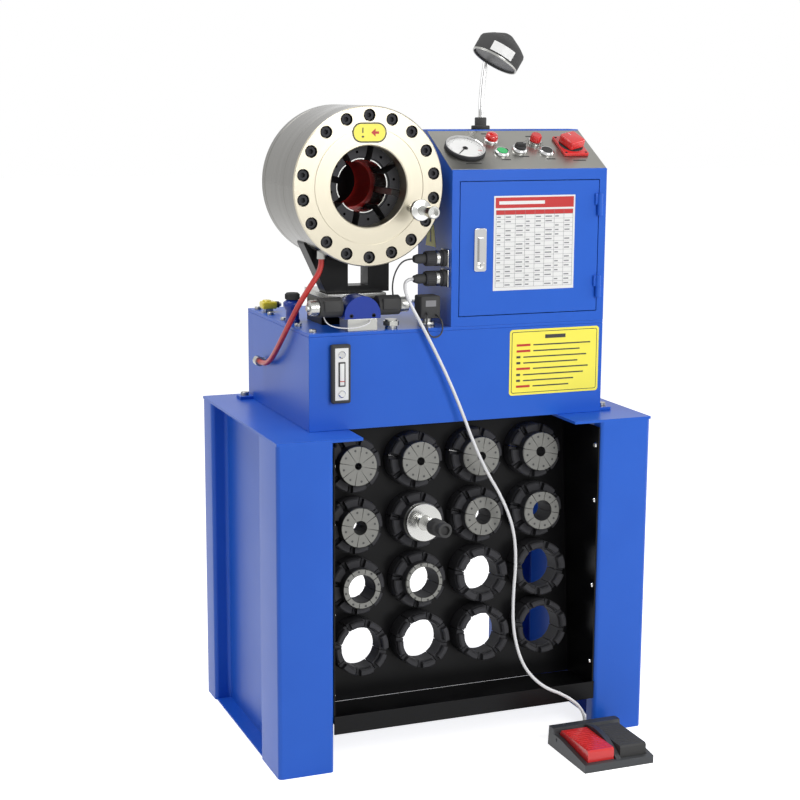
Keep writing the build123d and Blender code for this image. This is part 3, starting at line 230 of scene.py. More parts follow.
@dataclass(frozen=True)
class Finish:
    """A surface finish, with the values that its shader takes."""

    name: str
    colour: Colour
    shade: Colour
    roughness: float = 0.4
    roughness_spread: float = 0.1
    metallic: float = 0.0
    coat: float = 0.0
    bump: float = 0.1
    bump_depth: float = 0.0002
    effect: Effect = Effect.ORANGE_PEEL
    scale: float = 400.0
    dust: float = 0.0
    specular: float = 0.5
    anisotropy: float = 0.0
    emission: float = 0.0
    transmission: float = 0.0
    centre: Point = (0.0, 0.0, 0.0)
    turn: Point = (0.0, 0.0, 0.0)

    def material(self) -> bpy.types.Material:
        """Return the finish's material, and build it on first use."""
        found = bpy.data.materials.get(self.name)
        return found if found else self._build()

    def _build(self) -> bpy.types.Material:
        """Return a new material with its grain, mottle, dust and bump."""
        material = bpy.data.materials.new(self.name)
        material.use_nodes = True
        nodes, links = material.node_tree.nodes, material.node_tree.links
        shader = nodes["Principled BSDF"]
        shader.inputs["Metallic"].default_value = self.metallic
        shader.inputs["Coat Weight"].default_value = self.coat
        shader.inputs["Coat Roughness"].default_value = 0.08
        shader.inputs["Specular IOR Level"].default_value = self.specular
        shader.inputs["Anisotropic"].default_value = self.anisotropy
        shader.inputs["Transmission Weight"].default_value = self.transmission
        place = nodes.new("ShaderNodeTexCoord")
        centre = nodes.new("ShaderNodeMapping")
        centre.vector_type = "TEXTURE"
        centre.inputs["Location"].default_value = self.centre
        centre.inputs["Rotation"].default_value = self.turn
        links.new(place.outputs["Object"], centre.inputs["Vector"])
        grain = nodes.new("ShaderNodeGroup")
        grain.node_tree = EFFECTS.get(self.effect)
        grain.inputs[1].default_value = self.scale
        links.new(centre.outputs["Vector"], grain.inputs["Vector"])
        blend = nodes.new("ShaderNodeMix")
        blend.data_type = "RGBA"
        blend.inputs[6].default_value = self.colour
        blend.inputs[7].default_value = self.shade
        links.new(grain.outputs["Mottle"], blend.inputs[0])
        colour = blend.outputs[2]
        if self.dust > 0:
            dust = nodes.new("ShaderNodeGroup")
            dust.node_tree = EFFECTS.get(Effect.DUST)
            dust.inputs["Amount"].default_value = self.dust
            links.new(place.outputs["Object"], dust.inputs["Vector"])
            film = nodes.new("ShaderNodeMix")
            film.data_type = "RGBA"
            film.inputs[7].default_value = (0.62, 0.60, 0.57, 1.0)
            links.new(dust.outputs["Mask"], film.inputs[0])
            links.new(colour, film.inputs[6])
            colour = film.outputs[2]
        links.new(colour, shader.inputs["Base Color"])
        spread = nodes.new("ShaderNodeMapRange")
        spread.inputs["To Min"].default_value = self.roughness - self.roughness_spread / 2
        spread.inputs["To Max"].default_value = self.roughness + self.roughness_spread / 2
        links.new(grain.outputs["Mottle"], spread.inputs["Value"])
        links.new(spread.outputs["Result"], shader.inputs["Roughness"])
        relief = nodes.new("ShaderNodeBump")
        relief.inputs["Strength"].default_value = self.bump
        relief.inputs["Distance"].default_value = self.bump_depth
        links.new(grain.outputs["Height"], relief.inputs["Height"])
        links.new(relief.outputs["Normal"], shader.inputs["Normal"])
        if self.emission > 0:
            shader.inputs["Emission Color"].default_value = self.colour
            shader.inputs["Emission Strength"].default_value = self.emission
        return material


def metal(name: str, tone: Colour, roughness: float, **more: object) -> Finish:
    """Return a bare metal finish, a little darker in its shade.

    Args:
        name: The material's name.
        tone: Its colour.
        roughness: Its middle roughness.
        more: Other finish values.

    Returns:
        The finish.
    """
    shade = (tone[0] * 0.82, tone[1] * 0.82, tone[2] * 0.82, 1.0)
    return Finish(name, tone, shade, roughness, metallic=1.0, **more)


HEAD_CENTRE = tuple(middle_of("head_cylinder"))
FACE_ON = (radians(90.0), 0.0, 0.0)

BLUE = Finish("blue_enamel", (0.018, 0.120, 0.60, 1), (0.013, 0.098, 0.53, 1), 0.34, 0.05, specular=0.28,
              bump=0.10, bump_depth=0.0001, scale=650.0)
BLUE_DARK = Finish("blue_valve_paint", (0.008, 0.04, 0.33, 1), (0.005, 0.028, 0.26, 1), 0.28, 0.08, specular=0.35,
                   bump=0.15, scale=900.0)
BLACK_SHEET = Finish("black_enamel", (0.0025, 0.0025, 0.003, 1), (0.0045, 0.0045, 0.005, 1), 0.30, 0.08,
                     specular=0.14, bump=0.10, bump_depth=0.0001, scale=600.0)
# Black oxide for screws and dies; the same finish also darkens the cover's counterbore walls as painted shade.
BLACK_OXIDE_AND_SHADE = Finish("black_oxide", (0.003, 0.003, 0.0035, 1), (0.006, 0.006, 0.0065, 1), 0.16, 0.08,
                     specular=0.42, bump=0.10, bump_depth=0.0001, scale=900.0)
BLACK_PLASTIC = Finish("black_plastic", (0.005, 0.005, 0.005, 1), (0.009, 0.009, 0.009, 1), 0.34, 0.1,
                       specular=0.25, bump=0.25, bump_depth=0.0001, scale=1500.0)
TURNED_FACE = metal("turned_face", (0.54, 0.50, 0.40, 1), 0.34, effect=Effect.TURNED, scale=1500.0, bump=0.18,
                    bump_depth=0.00008, anisotropy=0.35, centre=HEAD_CENTRE, turn=FACE_ON, roughness_spread=0.10)
# The head's side and barrel use the face's turned steel made much darker: painted dark reflection on the round sides,
# not a different metal.
TURNED_SIDE_PAINTED_DARK = metal("turned_side_painted_dark", (0.17, 0.165, 0.15, 1), 0.20, effect=Effect.TURNED, scale=1300.0, bump=0.25,
                    bump_depth=0.0001, anisotropy=0.6, centre=HEAD_CENTRE, turn=FACE_ON, roughness_spread=0.10)
BRIGHT_STEEL = metal("bright_steel", (0.62, 0.62, 0.60, 1), 0.18, scale=900.0, bump=0.06, bump_depth=0.0001)
CONE_STEEL = metal("cone_steel", (0.88, 0.88, 0.86, 1), 0.50, scale=900.0, bump=0.08, bump_depth=0.0001)
ZINC = metal("zinc_plate", (0.42, 0.42, 0.40, 1), 0.28, scale=700.0, bump=0.1, bump_depth=0.0001)
CHROME = metal("chrome_trim", (0.62, 0.62, 0.62, 1), 0.08, scale=400.0, bump=0.02, roughness_spread=0.04)
SATIN_PANEL = metal("brushed_panel", (0.34, 0.335, 0.31, 1), 0.30, effect=Effect.BRUSHED, scale=1.0, bump=0.12,
                    bump_depth=0.00006, anisotropy=0.4)
DIE_FACE = metal("ground_die_face", (0.17, 0.17, 0.16, 1), 0.34, scale=1500.0, bump=0.15, bump_depth=0.0001)
RED_SLEEVE = Finish("red_sleeve_paint", (0.30, 0.010, 0.008, 1), (0.25, 0.008, 0.006, 1), 0.30, 0.08, specular=0.25,
                    bump=0.08, scale=500.0)
RED_PLASTIC = Finish("red_plastic", (0.50, 0.006, 0.006, 1), (0.42, 0.005, 0.005, 1), 0.28, 0.08, specular=0.3,
                     bump=0.08, scale=900.0)
GREEN_PLASTIC = Finish("green_plastic", (0.003, 0.10, 0.03, 1), (0.002, 0.08, 0.025, 1), 0.28, 0.06, specular=0.3,
                       bump=0.08, scale=900.0)
YELLOW_PLASTIC = Finish("yellow_plastic", (0.85, 0.58, 0.01, 1), (0.74, 0.47, 0.01, 1), 0.35, 0.08, bump=0.12,
                        scale=900.0)
YELLOW_SIGN = Finish("yellow_sign", (0.95, 0.86, 0.10, 1), (0.90, 0.80, 0.08, 1), 0.38, 0.05, bump=0.02)
# White for signs, windows and marks; the same finish also makes the painted highlight strip on the lamp's shade.
WHITE_SIGN_AND_HIGHLIGHT = Finish("white_sign_and_painted_highlight", (0.84, 0.84, 0.83, 1), (0.78, 0.78, 0.77, 1), 0.35, 0.05, specular=0.2, bump=0.02)
RED_INK = Finish("red_ink", (0.52, 0.012, 0.012, 1), (0.45, 0.01, 0.01, 1), 0.4, 0.05, bump=0.02)
GREY_INK = Finish("grey_ink", (0.22, 0.22, 0.23, 1), (0.18, 0.18, 0.19, 1), 0.45, 0.05, bump=0.02)
# Black ink for print; the same finish also fills vent slots, a keyhole and small holes on die faces as painted shade.
BLACK_INK_AND_SHADE = Finish("black_ink_and_painted_shade", (0.012, 0.012, 0.012, 1), (0.016, 0.016, 0.016, 1), 0.45, 0.05, bump=0.02)
RED_HOSE = Finish("red_hose_skin", (0.60, 0.035, 0.028, 1), (0.50, 0.024, 0.02, 1), 0.35, 0.08, coat=0.15,
                  bump=0.1, scale=700.0)
WHITE_CABLE = Finish("white_cable_skin", (0.78, 0.78, 0.79, 1), (0.70, 0.70, 0.71, 1), 0.4, 0.08, bump=0.08,
                     scale=900.0)
BLACK_CABLE = Finish("black_cable_skin", (0.012, 0.012, 0.013, 1), (0.02, 0.02, 0.021, 1), 0.45, 0.08, bump=0.1)
PEDAL_CAST = Finish("pedal_casting", (0.035, 0.038, 0.042, 1), (0.055, 0.058, 0.062, 1), 0.45, 0.12, metallic=0.4,
                    bump=0.5, bump_depth=0.0004, scale=600.0, dust=0.03)
# The lamp's lens is dark grey rather than a pale lens: painted shade, so that the lamp's open face reads dark.
LENS_PAINTED_SHADE = Finish("lamp_lens_painted_shade", (0.10, 0.10, 0.10, 1), (0.07, 0.07, 0.07, 1), 0.35, 0.05, specular=0.2, bump=0.1,
              scale=300.0)
RED_DOME = Finish("red_dome", (0.65, 0.010, 0.010, 1), (0.55, 0.006, 0.006, 1), 0.12, 0.04, coat=0.6, bump=0.03)
GREY_GEAR = Finish("grey_gear", (0.32, 0.33, 0.34, 1), (0.26, 0.27, 0.28, 1), 0.45, 0.08, bump=0.1)


# ---------------------------------------------------------------- making pieces


def once(items: Iterable[Part]) -> list[Part]:
    """Return each mesh part once, in the order met, so that every run makes the same mesh.

    Args:
        items: Vertices, edges or faces, with repeats.

    Returns:
        The parts without repeats.
    """
    return list(dict.fromkeys(items))


class Mould:
    """A mesh in the making, in the machine's own frame."""

    def __init__(self) -> None:
        """Start with an empty mesh and no finish."""
        self.bm = bmesh.new()
        self.finishes: list[Finish] = []

    def _slot(self, finish: Finish) -> int:
        """Return the slot number that a finish has on this mesh."""
        if finish not in self.finishes:
            self.finishes.append(finish)
        return self.finishes.index(finish)

    def _settle(self, before: set[bmesh.types.BMFace], place: Matrix, finish: Finish) -> list[bmesh.types.BMVert]:
        """Put the faces made since a moment in place and dress them.

        Args:
            before: The faces that were there already.
            place: Where the new faces go.
            finish: Their finish.

        Returns:
            The new vertices.
        """
        fresh = [face for face in self.bm.faces if face not in before]
        corners = once(corner for face in fresh for corner in face.verts)
        bmesh.ops.recalc_face_normals(self.bm, faces=fresh)
        bmesh.ops.transform(self.bm, matrix=place, verts=corners)
        if place.determinant() < 0:
            bmesh.ops.reverse_faces(self.bm, faces=fresh)
        number = self._slot(finish)
        for face in fresh:
            face.material_index = number
        return corners

    def lathe(self, profile: list[tuple[float, float]], place: Matrix, finish: Finish, turn: float = 360.0,
              steps: int = 64) -> list[bmesh.types.BMVert]:
        """Spin a closed outline about Z.

        Args:
            profile: Corners as radius and height.
            place: Where the shape goes.
            finish: Its finish.
            turn: How far the outline turns, in degrees, from X.
            steps: Faces round the turn.

        Returns:
            The new vertices.
        """
        before = set(self.bm.faces)
        corners = [self.bm.verts.new((radius, 0.0, height)) for radius, height in profile]
        edges = [self.bm.edges.new((a, b)) for a, b in zip(corners, corners[1:] + corners[:1])]
        whole = turn >= 360.0
        if not whole:
            cap = self.bm.faces.new(corners)
            bmesh.ops.spin(self.bm, geom=[cap], cent=(0, 0, 0), axis=(0, 0, 1), angle=radians(turn), steps=steps)
        else:
            bmesh.ops.spin(self.bm, geom=corners + edges, cent=(0, 0, 0), axis=(0, 0, 1), angle=2 * pi,
                           steps=steps, use_merge=True)
        fresh = [face for face in self.bm.faces if face not in before]
        touched = once(corner for face in fresh for corner in face.verts)
        bmesh.ops.remove_doubles(self.bm, verts=touched, dist=1e-7)
        return self._settle(before, place, finish)

    def sector(self, profile: list[tuple[float, float]], place: Matrix, finish: Finish, half: float,
               steps: int = 6) -> list[bmesh.types.BMVert]:
        """Spin a closed outline about Z through an angle either side of X.

        Args:
            profile: Corners as radius and height.
            place: Where the shape goes.
            finish: Its finish.
            half: The angle on each side of X, in degrees.
            steps: Faces round the turn.

        Returns:
            The new vertices.
        """
        return self.lathe(profile, place @ Matrix.Rotation(-radians(half), 4, "Z"), finish, 2 * half, steps)

    def slab(self, low: Vector, high: Vector, finish: Finish, place: Matrix = Matrix.Identity(4),
             soft: float = 0.0, rounds: int = 2) -> list[bmesh.types.BMVert]:
        """Make a box between two corners, with softened edges.

        Args:
            low: Its lowest corner.
            high: Its highest corner.
            finish: Its finish.
            place: Where it goes.
            soft: The bevel's width.
            rounds: The bevel's segments.

        Returns:
            The new vertices.
        """
        before = set(self.bm.faces)
        size = Vector(high) - Vector(low)
        made = bmesh.ops.create_cube(self.bm, size=1.0)["verts"]
        bmesh.ops.scale(self.bm, vec=size, verts=made)
        bmesh.ops.translate(self.bm, vec=(Vector(low) + Vector(high)) / 2, verts=made)
        if soft > 0:
            edges = once(edge for corner in made for edge in corner.link_edges)
            bmesh.ops.bevel(self.bm, geom=edges, offset=soft, segments=rounds, affect="EDGES", profile=0.5,
                            material=-1, clamp_overlap=True)
        return self._settle(before, place, finish)

    def prism(self, outline: list[tuple[float, float]], depth: float, place: Matrix, finish: Finish,
              soft: float = 0.0, rounds: int = 2) -> list[bmesh.types.BMVert]:
        """Raise a flat outline along Z, with softened edges.

        Args:
            outline: Corners in the XY plane, in order.
            depth: Height along Z.
            place: Where it goes.
            finish: Its finish.
            soft: The bevel's width.
            rounds: The bevel's segments.

        Returns:
            The new vertices.
        """
        before = set(self.bm.faces)
        face = self.bm.faces.new([self.bm.verts.new((x, y, 0.0)) for x, y in outline])
        raised = bmesh.ops.extrude_face_region(self.bm, geom=[face])["geom"]
        bmesh.ops.translate(self.bm, vec=(0, 0, depth),
                            verts=[item for item in raised if isinstance(item, bmesh.types.BMVert)])
        if soft > 0:
            fresh = [item for item in self.bm.faces if item not in before]
            edges = once(edge for item in fresh for edge in item.edges if edge.calc_face_angle(0.0) > radians(25))
            bmesh.ops.bevel(self.bm, geom=edges, offset=soft, segments=rounds, affect="EDGES", profile=0.5,
                            material=-1, clamp_overlap=True)
        return self._settle(before, place, finish)

    def socket_screw(self, radius: float, height: float, place: Matrix, finish: Finish) -> None:
        """Make a cap screw's head with a hexagon socket in its top.

        Args:
            radius: The head's radius.
            height: The head's height.
            place: The head's foot, with Z out of it.
            finish: Its finish.
        """
        before = set(self.bm.faces)
        rings = []
        for sides, reach, level in ((24, radius, 0.0), (24, radius, height * 0.88), (24, radius * 0.9, height)):
            rings.append(self._ring(sides, reach, level))
        for reach, level in ((radius * 0.52, height), (radius * 0.48, height * 0.45)):
            rings.append(self._ring(6, reach, level))
        for lower, upper in zip(rings, rings[1:]):
            bmesh.ops.bridge_loops(self.bm, edges=lower + upper)
        for rim in (rings[0], rings[-1]):
            bmesh.ops.edgeloop_fill(self.bm, edges=rim)
        self._settle(before, place, finish)

    def _ring(self, sides: int, reach: float, level: float) -> list[bmesh.types.BMEdge]:
        """Return the edges of a new flat ring.

        Args:
            sides: How many edges it has.
            reach: Its radius.
            level: Its height.

        Returns:
            Its edges.
        """
        corners = bmesh.ops.create_circle(self.bm, segments=sides, radius=reach)["verts"]
        bmesh.ops.translate(self.bm, vec=(0, 0, level), verts=corners)
        return once(edge for corner in corners for edge in corner.link_edges)

    def hexagon_head(self, flats: float, height: float, place: Matrix, finish: Finish) -> None:
        """Make a hexagon head on its washer.

        Args:
            flats: Width across flats.
            height: Height over the washer.
            place: The washer's foot, with Z out of it.
            finish: Its finish.
        """
        reach = flats / 2 / cos(radians(30))
        corners = [(reach * cos(radians(60 * k)), reach * sin(radians(60 * k))) for k in range(6)]
        washer = height * 0.2
        self.lathe([(0, 0), (reach, 0), (reach, washer), (0, washer)], place, finish, steps=24)
        self.prism(corners, height - washer, place @ Matrix.Translation((0, 0, washer)), finish, 0.0006, 1)

    def tube(self, points: list[Point], radius: float, finish: Finish, sides: int = 16) -> None:
        """Make a closed round bar along smooth points.

        Args:
            points: The bar's middle line, as a spline's control points.
            radius: The bar's radius.
            finish: Its finish.
            sides: Faces round the bar.
        """
        before = set(self.bm.faces)
        curve = bpy.data.curves.new("guide", "CURVE")
        curve.dimensions = "3D"
        curve.resolution_u = 6
        curve.bevel_depth = radius
        curve.bevel_resolution = max(1, sides // 4 - 1)
        curve.use_fill_caps = True
        fill_spline(curve, points)
        guide = bpy.data.objects.new("guide", curve)
        mesh = bpy.data.meshes.new_from_object(guide)
        self.bm.from_mesh(mesh)
        bpy.data.objects.remove(guide)
        bpy.data.meshes.remove(mesh)
        bpy.data.curves.remove(curve)
        self._settle(before, Matrix.Identity(4), finish)

    def from_node(self, node: str, finish: Finish) -> None:
        """Take a joined copy of a CAD node's mesh.

        Args:
            node: The node's name.
            finish: Its finish.
        """
        before = set(self.bm.faces)
        self.bm.from_mesh(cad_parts[node].data)
        fresh = [face for face in self.bm.faces if face not in before]
        corners = once(corner for face in fresh for corner in face.verts)
        bmesh.ops.remove_doubles(self.bm, verts=corners, dist=2e-6)
        fresh = [face for face in self.bm.faces if face not in before]
        bmesh.ops.dissolve_limit(self.bm, angle_limit=radians(0.5),
                                 verts=once(corner for face in fresh for corner in face.verts),
                                 edges=once(edge for face in fresh for edge in face.edges))
        number = self._slot(finish)
        for face in self.bm.faces:
            if face not in before:
                face.material_index = number

    def cut(self, cutter: "Mould") -> None:
        """Take another mould's shape out of this one.

        Args:
            cutter: The shape to take out. It is used up.
        """
        block, tool = self.loose_object("block"), cutter.loose_object("tool")
        change = block.modifiers.new("cut", "BOOLEAN")
        change.operation = "DIFFERENCE"
        change.solver = "EXACT"
        change.object = tool
        bpy.context.view_layer.update()
        result = bpy.data.meshes.new_from_object(block.evaluated_get(bpy.context.evaluated_depsgraph_get()))
        self.bm.free()
        self.bm = bmesh.new()
        self.bm.from_mesh(result)
        for thing in (block, tool):
            data = thing.data
            bpy.data.objects.remove(thing)
            bpy.data.meshes.remove(data)
        bpy.data.meshes.remove(result)
        cutter.bm.free()

    def repaint(self, chosen: Callable[[bmesh.types.BMFace], bool], finish: Finish) -> None:
        """Give the faces that pass a test another finish.

        Args:
            chosen: The test.
            finish: Their new finish.
        """
        self.bm.normal_update()
        number = self._slot(finish)
        for face in self.bm.faces:
            if chosen(face):
                face.material_index = number

    def loose_object(self, name: str) -> bpy.types.Object:
        """Return a scratch object with a copy of this mesh.

        Args:
            name: The scratch object's name.

        Returns:
            The scratch object, linked to the scene.
        """
        mesh = bpy.data.meshes.new(name)
        self.bm.to_mesh(mesh)
        thing = bpy.data.objects.new(name, mesh)
        bpy.context.scene.collection.objects.link(thing)
        return thing

    def finish(self, name: str, body: str, *nodes: str, slot: str | None = None, soft: float = 0.0,
               rounds: int = 2, smooth: float = 32.0) -> bpy.types.Object:
        """Turn the mould into a piece that rides on a body.

        Args:
            name: The piece's name.
            body: The CAD body that it moves with.
            nodes: The CAD nodes that it stands for.
            slot: Not used.
            soft: Width of a bevel on its sharp edges.
            rounds: Segments of that bevel.
            smooth: Angle up to which faces shade as one, in degrees.

        Returns:
            The new object.
        """
        mesh = bpy.data.meshes.new(name)
        self.bm.to_mesh(mesh)
        self.bm.free()
        for finish in self.finishes:
            mesh.materials.append(finish.material())
        mesh.polygons.foreach_set("use_smooth", [True] * len(mesh.polygons))
        mesh.set_sharp_from_angle(angle=radians(smooth))
        piece = bpy.data.objects.new(name, mesh)
        bpy.context.scene.collection.objects.link(piece)
        if soft > 0:
            bevel = piece.modifiers.new("soft_edges", "BEVEL")
            bevel.width = soft
            bevel.segments = rounds
            bevel.limit_method = "ANGLE"
            bevel.angle_limit = radians(smooth)
            bevel.harden_normals = True
            bevel.use_clamp_overlap = True
        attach(piece, body)
        if nodes:
            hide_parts(*nodes)
        LOG.info("made %s on %s: %d faces", name, body, len(mesh.polygons))
        return piece


def fill_spline(curve: bpy.types.Curve, points: list[Point]) -> None:
    """Give a curve one smooth open spline.

    Args:
        curve: The curve.
        points: Its control points.
    """
    spline = curve.splines.new("NURBS")
    spline.points.add(len(points) - 1)
    for control, place in zip(spline.points, points):
        control.co = (*place, 1.0)
    spline.order_u = 3
    spline.use_endpoint_u = True


def aim(origin: Point, out: Vector, across: Vector) -> Matrix:
    """Return the matrix that takes Z to one direction and X near another.

    Args:
        origin: Where the new origin is.
        out: Direction of the new Z.
        across: Rough direction of the new X.

    Returns:
        The placing matrix.
    """
    z = Vector(out).normalized()
    x = (Vector(across) - z * z.dot(Vector(across))).normalized()
    y = z.cross(x)
    turn = Matrix((x, y, z)).transposed().to_4x4()
    return Matrix.Translation(origin) @ turn


X_WAY, Y_WAY, Z_WAY = Vector((1, 0, 0)), Vector((0, 1, 0)), Vector((0, 0, 1))
FRONT = -0.1585                 # Y of the stand's front plane
CABINET_FRONT = FRONT + 0.075   # Y of the front plane that tank, cabinet and door share


def islands(node: str) -> list[tuple[Vector, Vector]]:
    """Return the box of each separate solid in a node.

    Args:
        node: The CAD node's name.

    Returns:
        Lowest and highest corners, sorted from left to right and front to rear.
    """
    bm = bmesh.new()
    bm.from_mesh(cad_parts[node].data)
    bmesh.ops.remove_doubles(bm, verts=bm.verts, dist=2e-6)
    left = set(bm.verts)
    boxes = []
    while left:
        front = [left.pop()]
        found = list(front)
        while front:
            corner = front.pop()
            for edge in corner.link_edges:
                other = edge.other_vert(corner)
                if other in left:
                    left.remove(other)
                    front.append(other)
                    found.append(other)
        spots = [corner.co for corner in found]
        low = Vector(min(spot[axis] for spot in spots) for axis in range(3))
        high = Vector(max(spot[axis] for spot in spots) for axis in range(3))
        boxes.append((low, high))
    bm.free()
    return sorted(boxes, key=lambda pair: (round(pair[0].x, 4), round(pair[0].y, 4), pair[0].z))


def dress(node: str, finish: Finish, body: str, slot: str, soft: float = 0.0008) -> bpy.types.Object:
    """Show a CAD node as a joined copy with softened edges.

    Args:
        node: The CAD node's name.
        finish: Its finish.
        body: The body it rides on.
        slot: A material slot name, passed on to Mould.finish.
        soft: Width of its edge rounding.

    Returns:
        The new object.
    """
    mould = Mould()
    mould.from_node(node, finish)
    return mould.finish(f"{node}_skin", body, node, slot=slot, soft=soft)


# ---------------------------------------------------------------- sub-assemblies


@dataclass
class Stand:
    """The two side frames, the rack sheet and their screws."""

    fold: float = 0.0014

    def build(self) -> None:
        """Make the sheet parts and the screws."""
        for side in ("left", "right"):
            dress(f"{side}_side_frame", BLUE, "stand", "blue_paint", self.fold)
        dress("die_rack", BLACK_SHEET, "stand", "black_paint", 0.0006)
        dress("rack_shelf", BLACK_SHEET, "stand", "black_paint", 0.0008)
        self._screws()

    def _screws(self) -> None:
        """Make every frame screw where its solid is."""
        mould = Mould()
        for low, high in islands("frame_screws"):
            size, centre = high - low, (low + high) / 2
            if size.x < size.z * 0.8:
                out = X_WAY if centre.x < 0 else -X_WAY
                foot = Vector((low.x if centre.x < 0 else high.x, centre.y, centre.z))
                profile = [(0, 0), (size.z * 0.5, 0), (size.z * 0.5, 0.0008), (size.z * 0.36, size.x),
                           (0, size.x)]
                mould.lathe(profile, aim(foot, out, Y_WAY), CHROME, steps=24)
            else:
                foot = Vector((centre.x, centre.y, low.z))
                mould.hexagon_head(size.y * 0.92, size.z, aim(foot, Z_WAY, X_WAY), ZINC)
        mould.finish("frame_screw_heads", "stand", "frame_screws", slot="black_oxide")


@dataclass
class DieRack:
    """The sixteen stored die sets and the pick-up tool in front of one of them."""

    lean: float = radians(5.5)
    foot: Point = (0.0, FRONT + 0.103, 0.092)
    pitch_x: float = 0.122
    pitch_up: float = 0.1125
    first_up: float = 0.105
    body_r: float = 0.052
    body_l: float = 0.036
    neck_r: float = 0.037
    neck_l: float = 0.020
    shell_l: float = 0.048
    shell_bore: float = 0.030
    half: float = 21.5
    turn: float = 10.0
    gap: float = 0.0003
    grip_ribs: int = 9
    bores: tuple[tuple[float, ...], ...] = (
        (0.006, 0.007, 0.008, 0.009), (0.0125, 0.010, 0.015, 0.019),
        (0.0255, 0.0285, 0.034, 0.036), (0.037, 0.038, 0.037, 0.038))

    def place(self, row: int, column: int, out: float = 0.0) -> Matrix:
        """Return the placing matrix of a set, Z off the rack.

        Args:
            row: From the top, from 0.
            column: From the left, from 0.
            out: Distance off the rack.

        Returns:
            The matrix.
        """
        out_way = Vector((0.0, -cos(self.lean), sin(self.lean)))
        base = aim(self.foot, out_way, X_WAY)
        up = self.first_up + (3 - row) * self.pitch_up
        return base @ Matrix.Translation(((column - 1.5) * self.pitch_x, up, out))

    def build(self) -> None:
        """Make the stored dies and the tool."""
        mould = Mould()
        for row, bores in enumerate(self.bores):
            for column, bore in enumerate(bores):
                for number in range(8):
                    spot = self.place(row, column) @ Matrix.Rotation(radians(self.turn + 45 * number), 4, "Z")
                    if bore > self.shell_bore:
                        self._shell_die(mould, bore, spot)
                    else:
                        self._neck_die(mould, bore, spot)
        mould.finish("die_sets", "stand", "stored_dies", slot="black_oxide", smooth=28)
        self._tool()

    def _shell_die(self, mould: Mould, bore: float, spot: Matrix) -> None:
        """Make one die of a large-bore set: a base and a narrower crown.

        Args:
            mould: The mesh that takes it.
            bore: The bore's radius.
            spot: Its place.
        """
        outer, waist, top = self.body_r, self.body_l, self.shell_l
        mould.sector([(bore, 0.001), (bore, 0), (outer - 0.001, 0), (outer, 0.001), (outer, waist - 0.001),
                      (outer - 0.001, waist), (bore, waist)], spot, BLACK_OXIDE_AND_SHADE, self.half)
        mould.sector([(bore + 0.003, waist), (outer - 0.0005, waist), (outer - 0.0005, top - 0.0025),
                      (outer - 0.003, top), (bore + 0.005, top), (bore + 0.003, top - 0.002)],
                     spot, BLACK_OXIDE_AND_SHADE, 15.0)

    def _neck_die(self, mould: Mould, bore: float, spot: Matrix) -> None:
        """Make one die of a set with a neck: base, notched crown, neck and ground face.

        Args:
            mould: The mesh that takes it.
            bore: The bore's radius.
            spot: Its place.
        """
        outer, neck, waist, top = self.body_r, self.neck_r, self.body_l, self.body_l + self.neck_l
        shoulder, face = waist - 0.011, top - 0.0016
        mould.sector([(bore, 0), (outer - 0.001, 0), (outer, 0.001), (outer, waist - 0.012),
                      (outer - 0.001, shoulder), (bore, shoulder)], spot, BLACK_OXIDE_AND_SHADE, self.half)
        mould.sector([(neck, shoulder), (outer - 0.0005, shoulder), (outer - 0.0005, waist - 0.0025),
                      (outer - 0.003, waist), (neck, waist)], spot, BLACK_OXIDE_AND_SHADE, 15.5)
        mould.sector([(bore, shoulder), (neck, shoulder), (neck, face), (bore, face)], spot, BLACK_OXIDE_AND_SHADE, self.half)
        mould.sector([(bore, face), (neck, face), (neck - 0.0014, top), (bore + 0.0006, top)], spot, DIE_FACE,
                     self.half)
        # A flat black disc on the ground face stands for a small hole: painted shade of its inside.
        pin = spot @ Matrix.Translation(((max(bore, 0.018) + neck) / 2 + 0.001, 0, top - 0.001))
        mould.lathe([(0, 0), (0.0021, 0), (0.0021, 0.0012), (0, 0.0012)], pin, BLACK_INK_AND_SHADE, steps=12)

    def _tool(self) -> None:
        """Make the pick-up tool: magnet disc, rod, knurled grip and end ring."""
        start = self.body_l + self.neck_l + self.gap
        spot = self.place(1, 1, start)
        mould = Mould()
        mould.lathe([(0, 0), (0.0342, 0), (0.035, 0.0008), (0.035, 0.0088), (0.0338, 0.010), (0, 0.010)], spot,
                    BRIGHT_STEEL)
        mould.lathe([(0, 0.010), (0.0145, 0.010), (0.012, 0.014), (0.012, 0.054), (0, 0.054)], spot, BRIGHT_STEEL,
                    steps=48)
        ribs = [(0, 0.054), (0.0150, 0.054), (0.0155, 0.0555)]
        for number in range(self.grip_ribs):
            level = 0.0565 + number * 0.003
            ribs += [(0.0155, level), (0.0146, level + 0.0008), (0.0146, level + 0.0016), (0.0155, level + 0.0024)]
        ribs += [(0.0100, 0.087), (0.0100, 0.090), (0.0132, 0.093), (0.0135, 0.104), (0.0125, 0.1058),
                 (0.0085, 0.1058), (0.0080, 0.099), (0, 0.099)]
        mould.lathe(ribs, spot, BLACK_PLASTIC, steps=48)
        mould.finish("pick_up_tool", "quick_change_tool", "quick_change_tool", slot="steel", smooth=40)


